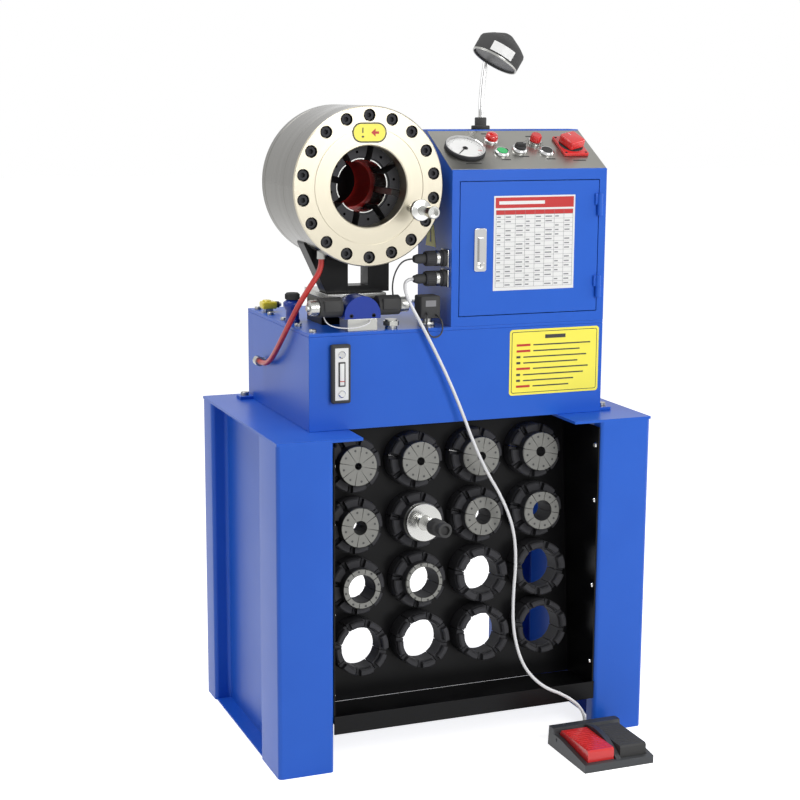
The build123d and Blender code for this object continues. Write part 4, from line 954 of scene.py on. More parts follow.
@dataclass
class OilTank:
    """The tank, its lid, sight gauge, filler, float switch, motor and pump."""

    cap_ribs: int = 24
    fins: int = 32
    vents: int = 12

    def build(self) -> None:
        """Make everything that stands on the tank or hangs in it."""
        dress("oil_tank", BLUE, "stand", "blue_paint", 0.0012)
        dress("tank_lid", BLUE, "stand", "blue_lid", 0.0010)
        self._sight_gauge()
        self._filler()
        self._float_switch()
        self._motor()
        dress("pump", ZINC, "stand", "steel", 0.001)

    def _sight_gauge(self) -> None:
        """Make the level gauge: black frame, pale window, float line and two nuts."""
        low, high = box_of("level_gauge")
        frame_front = low.y + 0.004
        centre = Vector(((low.x + high.x) / 2, frame_front, (low.z + high.z) / 2))
        out = aim(centre, -Y_WAY, X_WAY)
        wide, tall = high.x - low.x, high.z - low.z
        mould = Mould()
        mould.slab((-wide / 2, -tall / 2, -0.0128), (wide / 2, tall / 2, 0), BLACK_PLASTIC, out, 0.003, 3)
        mould.slab((-0.0125, -tall / 2 + 0.006, -0.001), (0.0125, tall / 2 - 0.006, 0.0006), WHITE_SIGN_AND_HIGHLIGHT, out,
                   0.0005, 1)
        mould.slab((-0.0065, -0.022, 0.0), (0.0065, 0.022, 0.0022), BLACK_PLASTIC, out, 0.001, 2)
        mould.slab((-0.0042, -0.0195, 0.001), (0.0042, 0.0195, 0.0030), WHITE_SIGN_AND_HIGHLIGHT, out, 0.001, 2)
        mould.slab((-0.0042, -0.013, 0.0025), (0.0042, -0.0115, 0.0032), RED_INK, out)
        for side in (-1, 1):
            nut = out @ Matrix.Translation((0, side * 0.035, 0.0004))
            mould.lathe([(0, 0), (0.0065, 0), (0.0065, 0.002), (0.0050, 0.0036), (0, 0.0036)], nut, CHROME, steps=32)
        mould.finish("sight_gauge", "stand", "level_gauge", slot="level_gauge")

    def _filler(self) -> None:
        """Make the filler's ringed neck and its ribbed cap."""
        low, high = box_of("filler_neck")
        foot = Vector(((low.x + high.x) / 2, (low.y + high.y) / 2, low.z))
        up = aim(foot, Z_WAY, X_WAY)
        mould = Mould()
        mould.lathe([(0, 0), (0.014, 0), (0.014, 0.004), (0.0125, 0.006), (0.012, 0.022), (0.0165, 0.029),
                     (0.017, 0.031), (0.017, 0.036), (0.016, 0.0375), (0.010, 0.042), (0, 0.042)], up, BLUE_DARK,
                    steps=48)
        mould.finish("filler_pipe", "stand", "filler_neck", slot="blue_paint", smooth=40)
        cap_low, cap_high = box_of("filler_cap")
        height = cap_high.z - cap_low.z
        cap = aim((foot.x, foot.y, cap_low.z), Z_WAY, X_WAY)
        mould = Mould()
        mould.lathe([(0, 0), (0.0128, 0), (0.0128, height - 0.002), (0.011, height), (0, height)], cap,
                    BLACK_PLASTIC, steps=48)
        for number in range(self.cap_ribs):
            rib = cap @ Matrix.Rotation(radians(360 / self.cap_ribs * number), 4, "Z")
            mould.slab((0.0124, -0.0006, 0.001), (0.0138, 0.0006, height - 0.0025), BLACK_PLASTIC, rib)
        mould.finish("filler_lid", "filler_cap", "filler_cap", slot="black_plastic", smooth=40)

    def _float_switch(self) -> None:
        """Make the yellow float switch with its domed lid and cable nut."""
        low, high = box_of("float_switch")
        mould = Mould()
        body_high = Vector((high.x - 0.011, high.y, high.z - 0.003))
        mould.slab((low.x, low.y, low.z + 0.007), body_high, YELLOW_PLASTIC, soft=0.003, rounds=3)
        mould.slab((low.x + 0.007, low.y + 0.005, low.z), (low.x + 0.022, low.y + 0.021, low.z + 0.0075), ZINC)
        centre = Vector(((low.x + body_high.x) / 2 - 0.003, (low.y + high.y) / 2, body_high.z - 0.001))
        mould.lathe([(0, 0), (0.009, 0), (0.009, 0.002), (0.007, 0.004), (0, 0.004)], aim(centre, Z_WAY, X_WAY),
                    YELLOW_PLASTIC, steps=32)
        nut = aim((body_high.x, (low.y + high.y) / 2, low.z + 0.014), X_WAY, Y_WAY)
        mould.hexagon_head(0.0115, 0.007, nut, BLACK_PLASTIC)
        mould.lathe([(0, 0.007), (0.0045, 0.007), (0.0035, 0.011), (0, 0.011)], nut, WHITE_SIGN_AND_HIGHLIGHT, steps=24)
        mould.finish("float_switch_box", "stand", "float_switch", slot="yellow_plastic")

    def _motor(self) -> None:
        """Make the finned motor, with black marks on its fan cover for the vents as painted shade."""
        low, high = box_of("motor")
        foot = Vector(((low.x + high.x) / 2, (low.y + high.y) / 2, low.z))
        up = aim(foot, Z_WAY, X_WAY)
        tall = high.z - low.z
        mould = Mould()
        mould.lathe([(0, 0), (0.082, 0), (0.082, 0.012), (0.080, 0.014), (0.070, 0.014), (0.070, tall - 0.045),
                     (0.0785, tall - 0.045), (0.080, tall - 0.043), (0.080, tall - 0.006), (0.074, tall),
                     (0, tall)], up, BLUE)
        for number in range(self.fins):
            fin = up @ Matrix.Rotation(radians(360 / self.fins * number), 4, "Z")
            mould.slab((0.068, -0.0012, 0.016), (0.0798, 0.0012, tall - 0.047), BLUE, fin, 0.0005, 1)
        # Flat black marks stand for the fan cover's vent slots: painted shade of the openings.
        for number in range(self.vents):
            vent = up @ Matrix.Rotation(radians(360 / self.vents * number), 4, "Z")
            mould.slab((0.025, -0.0025, tall - 0.0005), (0.062, 0.0025, tall + 0.0002), BLACK_INK_AND_SHADE, vent)
        mould.finish("motor_body", "stand", "motor", slot="blue_paint", smooth=35)


@dataclass
class CrimpHead:
    """The die head: cover, cylinder, screws, piston, sleeve, master dies and carrier."""

    centre: Point = (-0.166, 0.0, 1.039)
    front: float = FRONT + 0.082
    cover_l: float = 0.056
    cylinder_l: float = 0.130
    outer_r: float = 0.140
    mouth_r: float = 0.071
    screws: int = 18
    screw_circle: float = 0.1235
    screw_floor: float = 0.014
    seat: float = 0.022
    back_wall: float = 0.028
    gap: float = 0.0003
    piston_l: float = 0.082
    bore_r: float = 0.050
    dies: int = 8
    die_l: float = 0.072
    die_r: float = 0.072
    travel: float = 0.014
    cone: float = tan(radians(20.0))

    def at(self, y: float) -> Matrix:
        """Return the place on the head's axis, Z to the rear, with its foot at y."""
        return aim((self.centre[0], y, self.centre[2]), Y_WAY, X_WAY)

    def die_front(self) -> float:
        """Return where the master dies' front faces run, just behind the cover's seat."""
        return self.front + self.cover_l - self.seat + self.gap

    def build(self) -> None:
        """Make the head and its carrier."""
        self._cover()
        self._screw_heads()
        self._cylinder()
        self._inside()
        for number in range(self.dies):
            self._master_die(number)
        self._carrier()
        self._parked_tool()

    def _cover(self) -> None:
        """Make the front cover with its counterbores, groove and plain yellow plate."""
        outer, mouth, deep = self.outer_r, self.mouth_r, self.cover_l
        mould = Mould()
        mould.lathe([(mouth + 0.0018, 0), (0.1002, 0), (0.1002, 0.0014), (0.1018, 0.0014), (0.1018, 0),
                     (outer - 0.002, 0), (outer, 0.002), (outer, deep - 0.0006), (outer - 0.0006, deep),
                     (0.1003, deep), (0.1003, deep - self.seat), (mouth, deep - self.seat), (mouth, 0.0018)],
                    self.at(self.front), TURNED_FACE, steps=144)
        cutter = Mould()
        for number in range(self.screws):
            spot = self.at(self.front) @ Matrix.Rotation(radians(90 + 360 / self.screws * number), 4, "Z")
            cutter.lathe([(0, -0.003), (0.011, -0.003), (0.011, self.screw_floor), (0, self.screw_floor)],
                         spot @ Matrix.Translation((self.screw_circle, 0, 0)), TURNED_FACE, steps=40)
        mould.cut(cutter)
        # The round outside takes the darkened side steel: painted dark reflection.
        mould.repaint(lambda face: self._from_axis(face) > outer - 0.003 and abs(face.normal.y) < 0.3, TURNED_SIDE_PAINTED_DARK)
        # The counterbore walls in the turned cover take black oxide: painted shade in the recesses.
        mould.repaint(lambda face: self._from_axis(face) < outer - 0.003 and abs(face.normal.y) < 0.5
                      and self._from_axis(face) > 0.11, BLACK_OXIDE_AND_SHADE)
        mould.finish("cover_ring", "stand", "head_front_cover", slot="head_steel", smooth=30)
        self._plate()

    def _from_axis(self, face: bmesh.types.BMFace) -> float:
        """Return how far a face's middle is from the head's axis."""
        spot = face.calc_center_median()
        return ((spot.x - self.centre[0]) ** 2 + (spot.z - self.centre[2]) ** 2) ** 0.5

    def _plate(self) -> None:
        """Make the plain yellow plate at the top of the cover's face."""
        spot = aim((self.centre[0], self.front, self.centre[2] + 0.0935), -Y_WAY, X_WAY)
        mould = Mould()
        mould.prism(rounded(0.064, 0.035, 0.0168), 0.0003, spot, BLACK_INK_AND_SHADE)
        mould.prism(rounded(0.059, 0.030, 0.0145), 0.0005, spot, YELLOW_SIGN)
        mould.prism([(0.003, 0.0), (0.011, 0.007), (0.011, -0.007)], 0.0007, spot, RED_INK)
        mould.slab((0.011, -0.0022, 0), (0.0175, 0.0022, 0.0007), RED_INK, spot)
        mould.slab((-0.0135, -0.0005, 0), (-0.0115, 0.0085, 0.0007), BLACK_INK_AND_SHADE, spot)
        mould.slab((-0.0145, -0.0085, 0), (-0.0105, -0.0055, 0.0007), BLACK_INK_AND_SHADE, spot)
        mould.finish("cover_plate", "stand")

    def _screw_heads(self) -> None:
        """Make the cap screws on the counterbores' floors."""
        mould = Mould()
        for number in range(self.screws):
            spot = self.at(self.front + self.screw_floor)
            spot = spot @ Matrix.Rotation(radians(90 + 360 / self.screws * number), 4, "Z")
            floor = spot @ Matrix.Translation((self.screw_circle, 0, 0)) @ Matrix.Rotation(pi, 4, "X")
            mould.socket_screw(0.0093, 0.0108, floor, BLACK_OXIDE_AND_SHADE)
        mould.finish("cap_screws", "stand", "head_screws", slot="black_oxide", smooth=40)

    def _cylinder(self) -> None:
        """Make the cylinder behind the cover."""
        outer, deep = self.outer_r, self.cylinder_l
        mould = Mould()
        # The barrel takes the darkened side steel: painted dark reflection.
        mould.lathe([(0.1001, 0), (outer - 0.0008, 0), (outer, 0.0008), (outer, deep - 0.022),
                     (outer - 0.0008, deep - 0.0212), (outer - 0.0008, deep - 0.0200), (outer, deep - 0.0192),
                     (outer, deep - 0.003), (outer - 0.003, deep), (0.0502, deep), (0.0502, deep - self.back_wall),
                     (0.1001, deep - self.back_wall)], self.at(self.front + self.cover_l), TURNED_SIDE_PAINTED_DARK, steps=144)
        mould.finish("cylinder_barrel", "stand", "head_cylinder", slot="head_steel", smooth=30)

    def _inside(self) -> None:
        """Make the piston's cone and the sleeve that it slides on."""
        rear = self.front + self.cover_l + self.cylinder_l
        front = rear - self.back_wall - 0.002 - self.piston_l
        mouth = self.die_r + self.travel + self.gap - (front - self.die_front()) * self.cone
        mould = Mould()
        mould.lathe([(mouth, 0), (0.0995, 0), (0.100, 0.0005), (0.100, self.piston_l), (0.0501, self.piston_l),
                     (0.0501, (mouth - 0.0501) / self.cone)], self.at(front), CONE_STEEL, steps=144)
        mould.finish("piston", "piston", "piston_cone", slot="black_oxide", smooth=30)
        mould = Mould()
        reach = self.bore_r + self.back_wall
        mould.lathe([(0.0425, 0), (0.0495, 0), (self.bore_r, 0.0005), (self.bore_r, reach), (0.062, reach),
                     (0.062, reach + 0.005), (0.061, reach + 0.006), (0.043, reach + 0.006),
                     (0.042, reach + 0.005), (0.042, 0.0005)], self.at(rear - reach), RED_SLEEVE, steps=96)
        mould.finish("guide_sleeve", "stand", "rear_sleeve", slot="red_sleeve", smooth=30)

    def _master_die(self, number: int) -> None:
        """Make one master die with its ground pad, front step and locating pin.

        Args:
            number: Which of the eight, from 0.
        """
        spot = self.at(self.die_front()) @ Matrix.Rotation(radians(-10 - 360 / self.dies * number), 4, "Z")
        spot = spot @ Matrix.Translation((self.travel, 0, 0))
        long = self.die_l
        mould = Mould()
        mould.sector([(0.0375, 0), (0.0711, 0), (0.0716, 0.0008), (0.0719 - long * self.cone, long),
                      (0.0345, long), (0.0345, 0.004), (0.0375, 0.004)], spot, BLACK_OXIDE_AND_SHADE, 21.9, 8)
        mould.sector([(0.0326, 0.0035), (0.0344, 0.0035), (0.0344, long - 0.001), (0.0326, long - 0.001)], spot,
                     BRIGHT_STEEL, 21.4, 8)
        pin = spot @ Matrix.Translation((0.046, 0, 0)) @ Matrix.Rotation(pi, 4, "X")
        mould.lathe([(0, -0.002), (0.0032, -0.002), (0.0032, -0.0006), (0.0024, 0.0), (0, 0.0)], pin, BRIGHT_STEEL,
                    steps=20)
        name = f"master_die_{number + 1}"
        mould.finish(f"die_holder_{number + 1}", name, name, slot="black_oxide", smooth=30)

    def _carrier(self) -> None:
        """Make the bracket and the base plate."""
        dress("head_bracket", BLACK_SHEET, "stand", "black_paint", 0.0010)
        dress("head_base_plate", ZINC, "stand", "head_steel", 0.0008)

    def _parked_tool(self) -> None:
        """Make the push tool on the head's face: rod, collar, grip and open end."""
        low, high = box_of("head_tool")
        spot = aim(((low.x + high.x) / 2, high.y, (low.z + high.z) / 2), -Y_WAY, X_WAY)
        mould = Mould()
        mould.lathe([(0, 0), (0.0068, 0), (0.007, 0.0004), (0.007, 0.045), (0.0175, 0.0455), (0.019, 0.047),
                     (0.019, 0.0520), (0.0178, 0.0538), (0.0085, 0.056), (0.0078, 0.066), (0.0088, 0.080),
                     (0.0104, 0.096), (0.0110, 0.1075), (0.0104, 0.1095), (0.0078, 0.1095), (0.0072, 0.100),
                     (0, 0.100)], spot, BRIGHT_STEEL, steps=48)
        mould.finish("push_tool", "head_tool", "head_tool", slot="steel", smooth=40)


def rounded(width: float, height: float, corner: float, steps: int = 6) -> list[tuple[float, float]]:
    """Return a rounded rectangle's outline about the origin.

    Args:
        width: Along X.
        height: Along Y.
        corner: The corners' radius.
        steps: Points on each corner.

    Returns:
        The corners in order.
    """
    points = []
    for quarter, (side_x, side_y) in enumerate(((1, 1), (-1, 1), (-1, -1), (1, -1))):
        middle = (side_x * (width / 2 - corner), side_y * (height / 2 - corner))
        for step in range(steps + 1):
            turn = radians(90 * quarter + 90 * step / steps)
            points.append((middle[0] + corner * cos(turn), middle[1] + corner * sin(turn)))
    return points


@dataclass
class ValveGroup:
    """The directional valve, its solenoids, the fittings and the pressure switch."""

    def build(self) -> None:
        """Make the valve and what stands beside it."""
        dress("valve_subplate", ZINC, "stand", "steel", 0.0008)
        self._body()
        self._solenoids()
        self._fittings()
        self._pressure_switch()

    def _body(self) -> None:
        """Make the painted valve body with its arched top and two cover screws."""
        low, high = box_of("valve_body")
        half, tall, deep = (high.x - low.x) / 2, high.z - low.z, high.y - low.y
        spring = tall - half
        outline = [(-half, 0.0), (half, 0.0), (half, spring)]
        outline += [(half * cos(radians(step * 9)), spring + half * sin(radians(step * 9))) for step in range(1, 20)]
        outline.append((-half, spring))
        front = aim(((low.x + high.x) / 2, high.y, low.z), -Y_WAY, X_WAY)
        mould = Mould()
        mould.prism(outline, deep, front, BLUE_DARK)
        for side in (-1, 1):
            screw = front @ Matrix.Translation((side * half * 0.62, spring * 0.9, deep - 0.0006))
            mould.socket_screw(0.0042, 0.0006, screw, BLACK_OXIDE_AND_SHADE)
        mould.finish("valve_block", "stand", "valve_body", slot="blue_paint", soft=0.0016, rounds=3)

    def _solenoids(self) -> None:
        """Make each coil, its connector box, its core tube and its knurled nut."""
        mould = Mould()
        for number, (low, high) in enumerate(islands("solenoids")):
            side = -1 if number == 0 else 1
            root = high.x if side < 0 else low.x
            middle = Vector((root, (low.y + high.y) / 2, high.z - 0.018))
            out = aim(middle, X_WAY * side, Z_WAY)
            mould.lathe([(0, 0), (0.0172, 0), (0.0178, 0.0008), (0.0178, 0.0412), (0.0172, 0.042), (0, 0.042)], out,
                        BLACK_PLASTIC, steps=48)
            mould.slab((-0.0058, -0.0215, 0.006), (0.0138, 0.0215, 0.036), BLACK_PLASTIC, out, 0.0015, 2)
            mould.lathe([(0, 0.042), (0.0128, 0.042), (0.0138, 0.043), (0.0138, 0.058), (0.0128, 0.0592),
                         (0.0065, 0.0595), (0.0060, 0.0635), (0, 0.0635)], out, ZINC, steps=48)
            for rib in range(20):
                grip = out @ Matrix.Rotation(radians(18 * rib), 4, "Z")
                mould.slab((0.0132, -0.0006, 0.0445), (0.01395, 0.0006, 0.0570), ZINC, grip)
        mould.finish("solenoid_coils", "stand", "solenoids", slot="black_plastic", smooth=35)

    def _fittings(self) -> None:
        """Make the hose fittings: bodies, nuts and the elbow on the tank."""
        mould = Mould()
        mould.from_node("hose_fittings", ZINC)
        mould.finish("fitting_skins", "stand", "hose_fittings", slot="steel", soft=0.0006)

    def _pressure_switch(self) -> None:
        """Make the pressure switch: hexagon foot, neck and moulded box with a scale window."""
        low, high = box_of("pressure_switch")
        middle, foot = (low + high) / 2, aim(((low.x + high.x) / 2, (low.y + high.y) / 2, low.z), Z_WAY, X_WAY)
        mould = Mould()
        mould.hexagon_head(0.0255, 0.009, foot, ZINC)
        mould.lathe([(0, 0.009), (0.008, 0.009), (0.008, 0.016), (0, 0.016)], foot, ZINC, steps=32)
        mould.slab((low.x, low.y, low.z + 0.016), high, BLACK_PLASTIC, soft=0.003, rounds=3)
        mould.slab((middle.x - 0.010, low.y - 0.0001, high.z - 0.019),
                   (middle.x + 0.010, low.y + 0.001, high.z - 0.008), GREY_INK)
        mould.finish("pressure_box", "stand", "pressure_switch", slot="black_plastic", smooth=35)


@dataclass
class Cabinet:
    """The control cabinet: shell, door, latch, chart, warning shape, gear and plugs."""

    chart_left: float = 0.071
    chart_right: float = 0.2345
    chart_foot: float = 0.8475
    chart_top: float = 1.019
    chart_rows: int = 17
    chart_columns: tuple[float, ...] = (0.025, 0.13, 0.26, 0.38, 0.50, 0.62, 0.74, 0.86, 0.972)
    tank_sign: Point = (0.199, CABINET_FRONT, 0.71275)
    plug_ribs: int = 22

    def build(self) -> None:
        """Make the cabinet's pieces."""
        dress("cabinet_shell", BLUE, "stand", "blue_paint", 0.0010)
        dress("cabinet_door", BLUE, "door", "blue_paint", 0.0010)
        dress("control_gear", GREY_GEAR, "stand", "grey_sheet", 0.0008)
        self._latch()
        self._chart()
        self._signs()
        self._plugs()

    def _latch(self) -> None:
        """Make the latch's chrome frame and its lever."""
        low, high = box_of("latch_plate")
        spot = aim(((low.x + high.x) / 2, high.y, (low.z + high.z) / 2), -Y_WAY, X_WAY)
        wide, tall, thick = high.x - low.x, high.z - low.z, high.y - low.y
        mould = Mould()
        mould.prism(rounded(wide, tall, 0.0045), thick, spot, CHROME)
        mould.finish("latch_frame", "door", "latch_plate", slot="chrome", soft=0.0010, rounds=3)
        dress("latch_lever", CHROME, "latch", "steel", 0.0012)
        mould = Mould()
        mould.lathe([(0, 0), (0.0075, 0), (0.0075, 0.0006), (0.0068, 0.001), (0, 0.001)],
                    spot @ Matrix.Translation((0, -0.027, thick)), BRIGHT_STEEL, steps=32)
        # A flat black bar on the lock's face stands for the key slot: painted shade.
        mould.slab((-0.0007, -0.0045, 0), (0.0007, 0.0045, 0.0012), BLACK_INK_AND_SHADE,
                   spot @ Matrix.Translation((0, -0.027, thick)))
        mould.finish("latch_lock", "door")

    def _chart(self) -> None:
        """Make the chart on the door: red heading, column bars and ruled rows, with no words."""
        wide, tall = self.chart_right - self.chart_left, self.chart_top - self.chart_foot
        spot = aim((self.chart_left, CABINET_FRONT, self.chart_foot), -Y_WAY, X_WAY)
        mould = Mould()
        mould.slab((0, 0, 0), (wide, tall, 0.0004), WHITE_SIGN_AND_HIGHLIGHT, spot)
        mould.slab((0.003, tall - 0.022, 0.0004), (wide - 0.003, tall - 0.003, 0.0006), RED_INK, spot)
        mould.slab((0.010, tall - 0.0155, 0.0006), (wide * 0.62, tall - 0.0095, 0.0007), WHITE_SIGN_AND_HIGHLIGHT, spot)
        rows, foot, head = self.chart_rows, 0.006, tall - 0.026
        for row in range(rows + 1):
            level = foot + (head - foot) * row / rows
            mould.slab((0.004, level, 0.0004), (wide - 0.004, level + 0.0004, 0.00055), GREY_INK, spot)
        for column, share in enumerate(self.chart_columns):
            left = wide * share
            mould.slab((left, foot, 0.0004), (left + 0.0005, head, 0.00055), GREY_INK, spot)
            if column < len(self.chart_columns) - 1:
                for row in range(rows - 1):
                    if (row * 5 + column * 3) % 4:
                        level = foot + (head - foot) * (row + 0.36) / rows
                        long = wide * (0.045 + 0.018 * ((row * 3 + column) % 3))
                        mould.slab((left + 0.002, level, 0.0004), (left + 0.002 + long, level + 0.0022, 0.0005),
                                   GREY_INK, spot)
        mould.slab((0.004, head - (head - foot) / rows, 0.0004), (wide - 0.004, head, 0.0005), RED_INK, spot)
        mould.finish("door_chart", "door")

    def _signs(self) -> None:
        """Make the yellow sign on the tank and the yellow shape on the cabinet's side."""
        spot = aim(self.tank_sign, -Y_WAY, X_WAY)
        mould = Mould()
        mould.prism(rounded(0.184, 0.1225, 0.006), 0.0005, spot, YELLOW_SIGN)
        mould.prism(rounded(0.176, 0.1145, 0.004), 0.0006, spot, BLACK_INK_AND_SHADE)
        mould.prism(rounded(0.1735, 0.112, 0.003), 0.0007, spot, YELLOW_SIGN)
        mould.slab((-0.020, 0.043, 0.0005), (0.022, 0.050, 0.0009), BLACK_INK_AND_SHADE, spot)
        for number, right in enumerate((0.074, 0.052, 0.066, 0.048, 0.070, 0.060, 0.040, 0.030)):
            level = 0.030 - number * 0.011
            heading = number in (0, 1, 4, 7)
            mould.slab((-0.078, level, 0.0005), (-0.050 if heading else -0.070, level + 0.0042, 0.0009),
                       RED_INK if heading else BLACK_INK_AND_SHADE, spot)
            mould.slab((-0.044 if heading else -0.064, level + 0.0006, 0.0005), (right, level + 0.0030, 0.0009),
                       BLACK_INK_AND_SHADE, spot)
        mould.finish("tank_sign", "stand")
        side = aim((box_of("cabinet_shell")[0].x, 0.0135, 0.943), -X_WAY, -Y_WAY)
        mould = Mould()
        mould.prism([(-0.024, -0.020), (0.024, -0.020), (0.013, 0.020), (-0.013, 0.020)], 0.0005, side, YELLOW_SIGN)
        mould.prism([(-0.004, -0.012), (0.004, -0.012), (0.0015, 0.012), (-0.0015, 0.012)], 0.0008, side, BLACK_INK_AND_SHADE)
        mould.finish("side_sign", "stand")

    def _plugs(self) -> None:
        """Make the two plugs on the side: flange, ribbed coupling ring and cable nut."""
        mould = Mould()
        for low, high in islands("cable_plugs"):
            spot = aim((high.x, (low.y + high.y) / 2, (low.z + high.z) / 2), -X_WAY, Z_WAY)
            mould.slab((-0.0158, -0.0158, 0), (0.0158, 0.0158, 0.0035), ZINC, spot, 0.001, 2)
            mould.lathe([(0, 0), (0.0155, 0), (0.0155, 0.009), (0.0145, 0.010), (0, 0.010)], spot, BLACK_PLASTIC,
                        steps=40)
            mould.lathe([(0, 0.010), (0.0130, 0.010), (0.0136, 0.0112), (0.0136, 0.040), (0.0128, 0.0418),
                         (0, 0.042)], spot, BLACK_OXIDE_AND_SHADE, steps=40)
            for rib in range(self.plug_ribs):
                grip = spot @ Matrix.Rotation(radians(360 / self.plug_ribs * rib), 4, "Z")
                mould.slab((0.0130, -0.0007, 0.0125), (0.01395, 0.0007, 0.0385), BLACK_PLASTIC, grip)
            mould.lathe([(0.0136, 0.0165), (0.0141, 0.0170), (0.0141, 0.0225), (0.0136, 0.0230)], spot, ZINC, steps=40)
            mould.lathe([(0, 0.042), (0.0088, 0.042), (0.0088, 0.056), (0.0062, 0.0635), (0.0040, 0.0638),
                         (0, 0.0638)], spot, BLACK_PLASTIC, steps=32)
        mould.finish("side_plugs", "stand", "cable_plugs", slot="black_plastic", smooth=35)


@dataclass
class ControlPanel:
    """The sloped panel with its gauge, buttons, lamp, knobs and main switch."""

    slope: float = radians(29.7)
    edge_up: float = 0.280
    gauge: tuple[float, float] = (0.050, 0.070)
    dome: tuple[float, float] = (0.114, 0.101)
    green: tuple[float, float] = (0.119, 0.058)
    selector: tuple[float, float] = (0.159, 0.068)
    timer: tuple[float, float] = (0.199, 0.091)
    black: tuple[float, float] = (0.210, 0.059)
    switch: tuple[float, float] = (0.266, 0.075)
    zero: float = 225.0

    def at(self, place: tuple[float, float], out: float = 0.0, turn: float = 0.0) -> Matrix:
        """Return a place on the panel, Z off it.

        Args:
            place: From the panel's left edge, and up the slope from its front edge.
            out: Height off the panel.
            turn: Turn about Z, in degrees.

        Returns:
            The placing matrix.
        """
        low = box_of("cabinet_shell")[0]
        foot = Vector((low.x, CABINET_FRONT, box_of("tank_lid")[1].z + self.edge_up))
        base = aim(foot, Vector((0, -sin(self.slope), cos(self.slope))), X_WAY)
        return base @ Matrix.Translation((*place, out)) @ Matrix.Rotation(radians(turn), 4, "Z")

    def build(self) -> None:
        """Make the panel's pieces."""
        dress("control_panel", SATIN_PANEL, "stand", "grey_sheet", 0.0005)
        self._gauge()
        self._bezels()
        self._caps()
        self._main_switch()
        self._marks()

    def _gauge(self) -> None:
        """Make the pressure gauge: polished bezel, white dial with marks, needle and hub."""
        spot = self.at(self.gauge)
        mould = Mould()
        mould.lathe([(0.0, 0.0), (0.0375, 0.0), (0.038, 0.0006), (0.038, 0.0052), (0.0370, 0.0060), (0.0362, 0.0062),
                     (0.0345, 0.0060), (0.0345, 0.0031), (0.0, 0.0031)], spot, BLACK_OXIDE_AND_SHADE)
        mould.lathe([(0.0363, 0.0058), (0.0368, 0.0076), (0.0355, 0.0080), (0.0342, 0.0072), (0.0341, 0.0031),
                     (0.0350, 0.0031)], spot, CHROME)
        mould.lathe([(0, 0.0030), (0.0340, 0.0030), (0.0340, 0.0032), (0, 0.0032)], spot, WHITE_SIGN_AND_HIGHLIGHT, steps=64)
        for number in range(31):
            angle = self.zero - number * 9.0
            long = 0.0058 if number % 5 == 0 else 0.0033
            mark = spot @ Matrix.Rotation(radians(angle), 4, "Z")
            mould.slab((0.0315 - long, -0.0003, 0.0031), (0.0315, 0.0003, 0.0033), BLACK_INK_AND_SHADE, mark)
        red = spot @ Matrix.Rotation(radians(self.zero - 243), 4, "Z")
        mould.slab((0.0235, -0.0008, 0.0031), (0.0320, 0.0008, 0.0034), RED_INK, red)
        mould.lathe([(0, 0.003), (0.00245, 0.003), (0.00245, 0.0058), (0, 0.006)], spot, BLACK_INK_AND_SHADE, steps=24)
        mould.finish("pressure_dial", "stand", "pressure_gauge", slot="chrome", smooth=35)
        needle = self.at(self.gauge, 0.0033, self.zero)
        mould = Mould()
        mould.lathe([(0.0026, 0), (0.0050, 0), (0.0050, 0.0008), (0.0026, 0.0008)], needle, BLACK_INK_AND_SHADE, steps=32)
        mould.prism([(0.0046, -0.0010), (0.0305, -0.0003), (0.0305, 0.0003), (0.0046, 0.0010)], 0.0007, needle,
                    BLACK_INK_AND_SHADE)
        mould.finish("dial_needle", "gauge_needle", "gauge_needle", slot="needle")

    def _bezels(self) -> None:
        """Make the ring round each control and the red signal lamp."""
        mould = Mould()
        for place in (self.green, self.black):
            mould.lathe([(0.0107, 0), (0.0144, 0), (0.0148, 0.0005), (0.0146, 0.0035), (0.0128, 0.0056),
                         (0.0118, 0.0060), (0.0107, 0.0056)], self.at(place), CHROME, steps=64)
        mould.lathe([(0, 0), (0.0144, 0), (0.0148, 0.0005), (0.0146, 0.0035), (0.0128, 0.0056), (0.0118, 0.0059),
                     (0, 0.0059)], self.at(self.selector), CHROME, steps=64)
        mould.lathe([(0, 0), (0.0122, 0), (0.0125, 0.0005), (0.0120, 0.0058), (0, 0.006)], self.at(self.timer),
                    CHROME, steps=64)
        mould.finish("control_rings", "stand", "button_bezels", slot="chrome", smooth=40)
        mould = Mould()
        mould.lathe([(0, 0), (0.0138, 0), (0.0140, 0.0004), (0.0136, 0.0030), (0.0122, 0.0040), (0, 0.0040)],
                    self.at(self.dome), CHROME, steps=64)
        mould.lathe([(0, 0.004), (0.0118, 0.004), (0.0118, 0.0085), (0.0112, 0.0115), (0.0095, 0.0138),
                     (0.0065, 0.0154), (0.0030, 0.0159), (0, 0.016)], self.at(self.dome), RED_DOME, steps=64)
        mould.finish("signal_dome", "stand", "signal_lamp", slot="red_plastic", smooth=50)

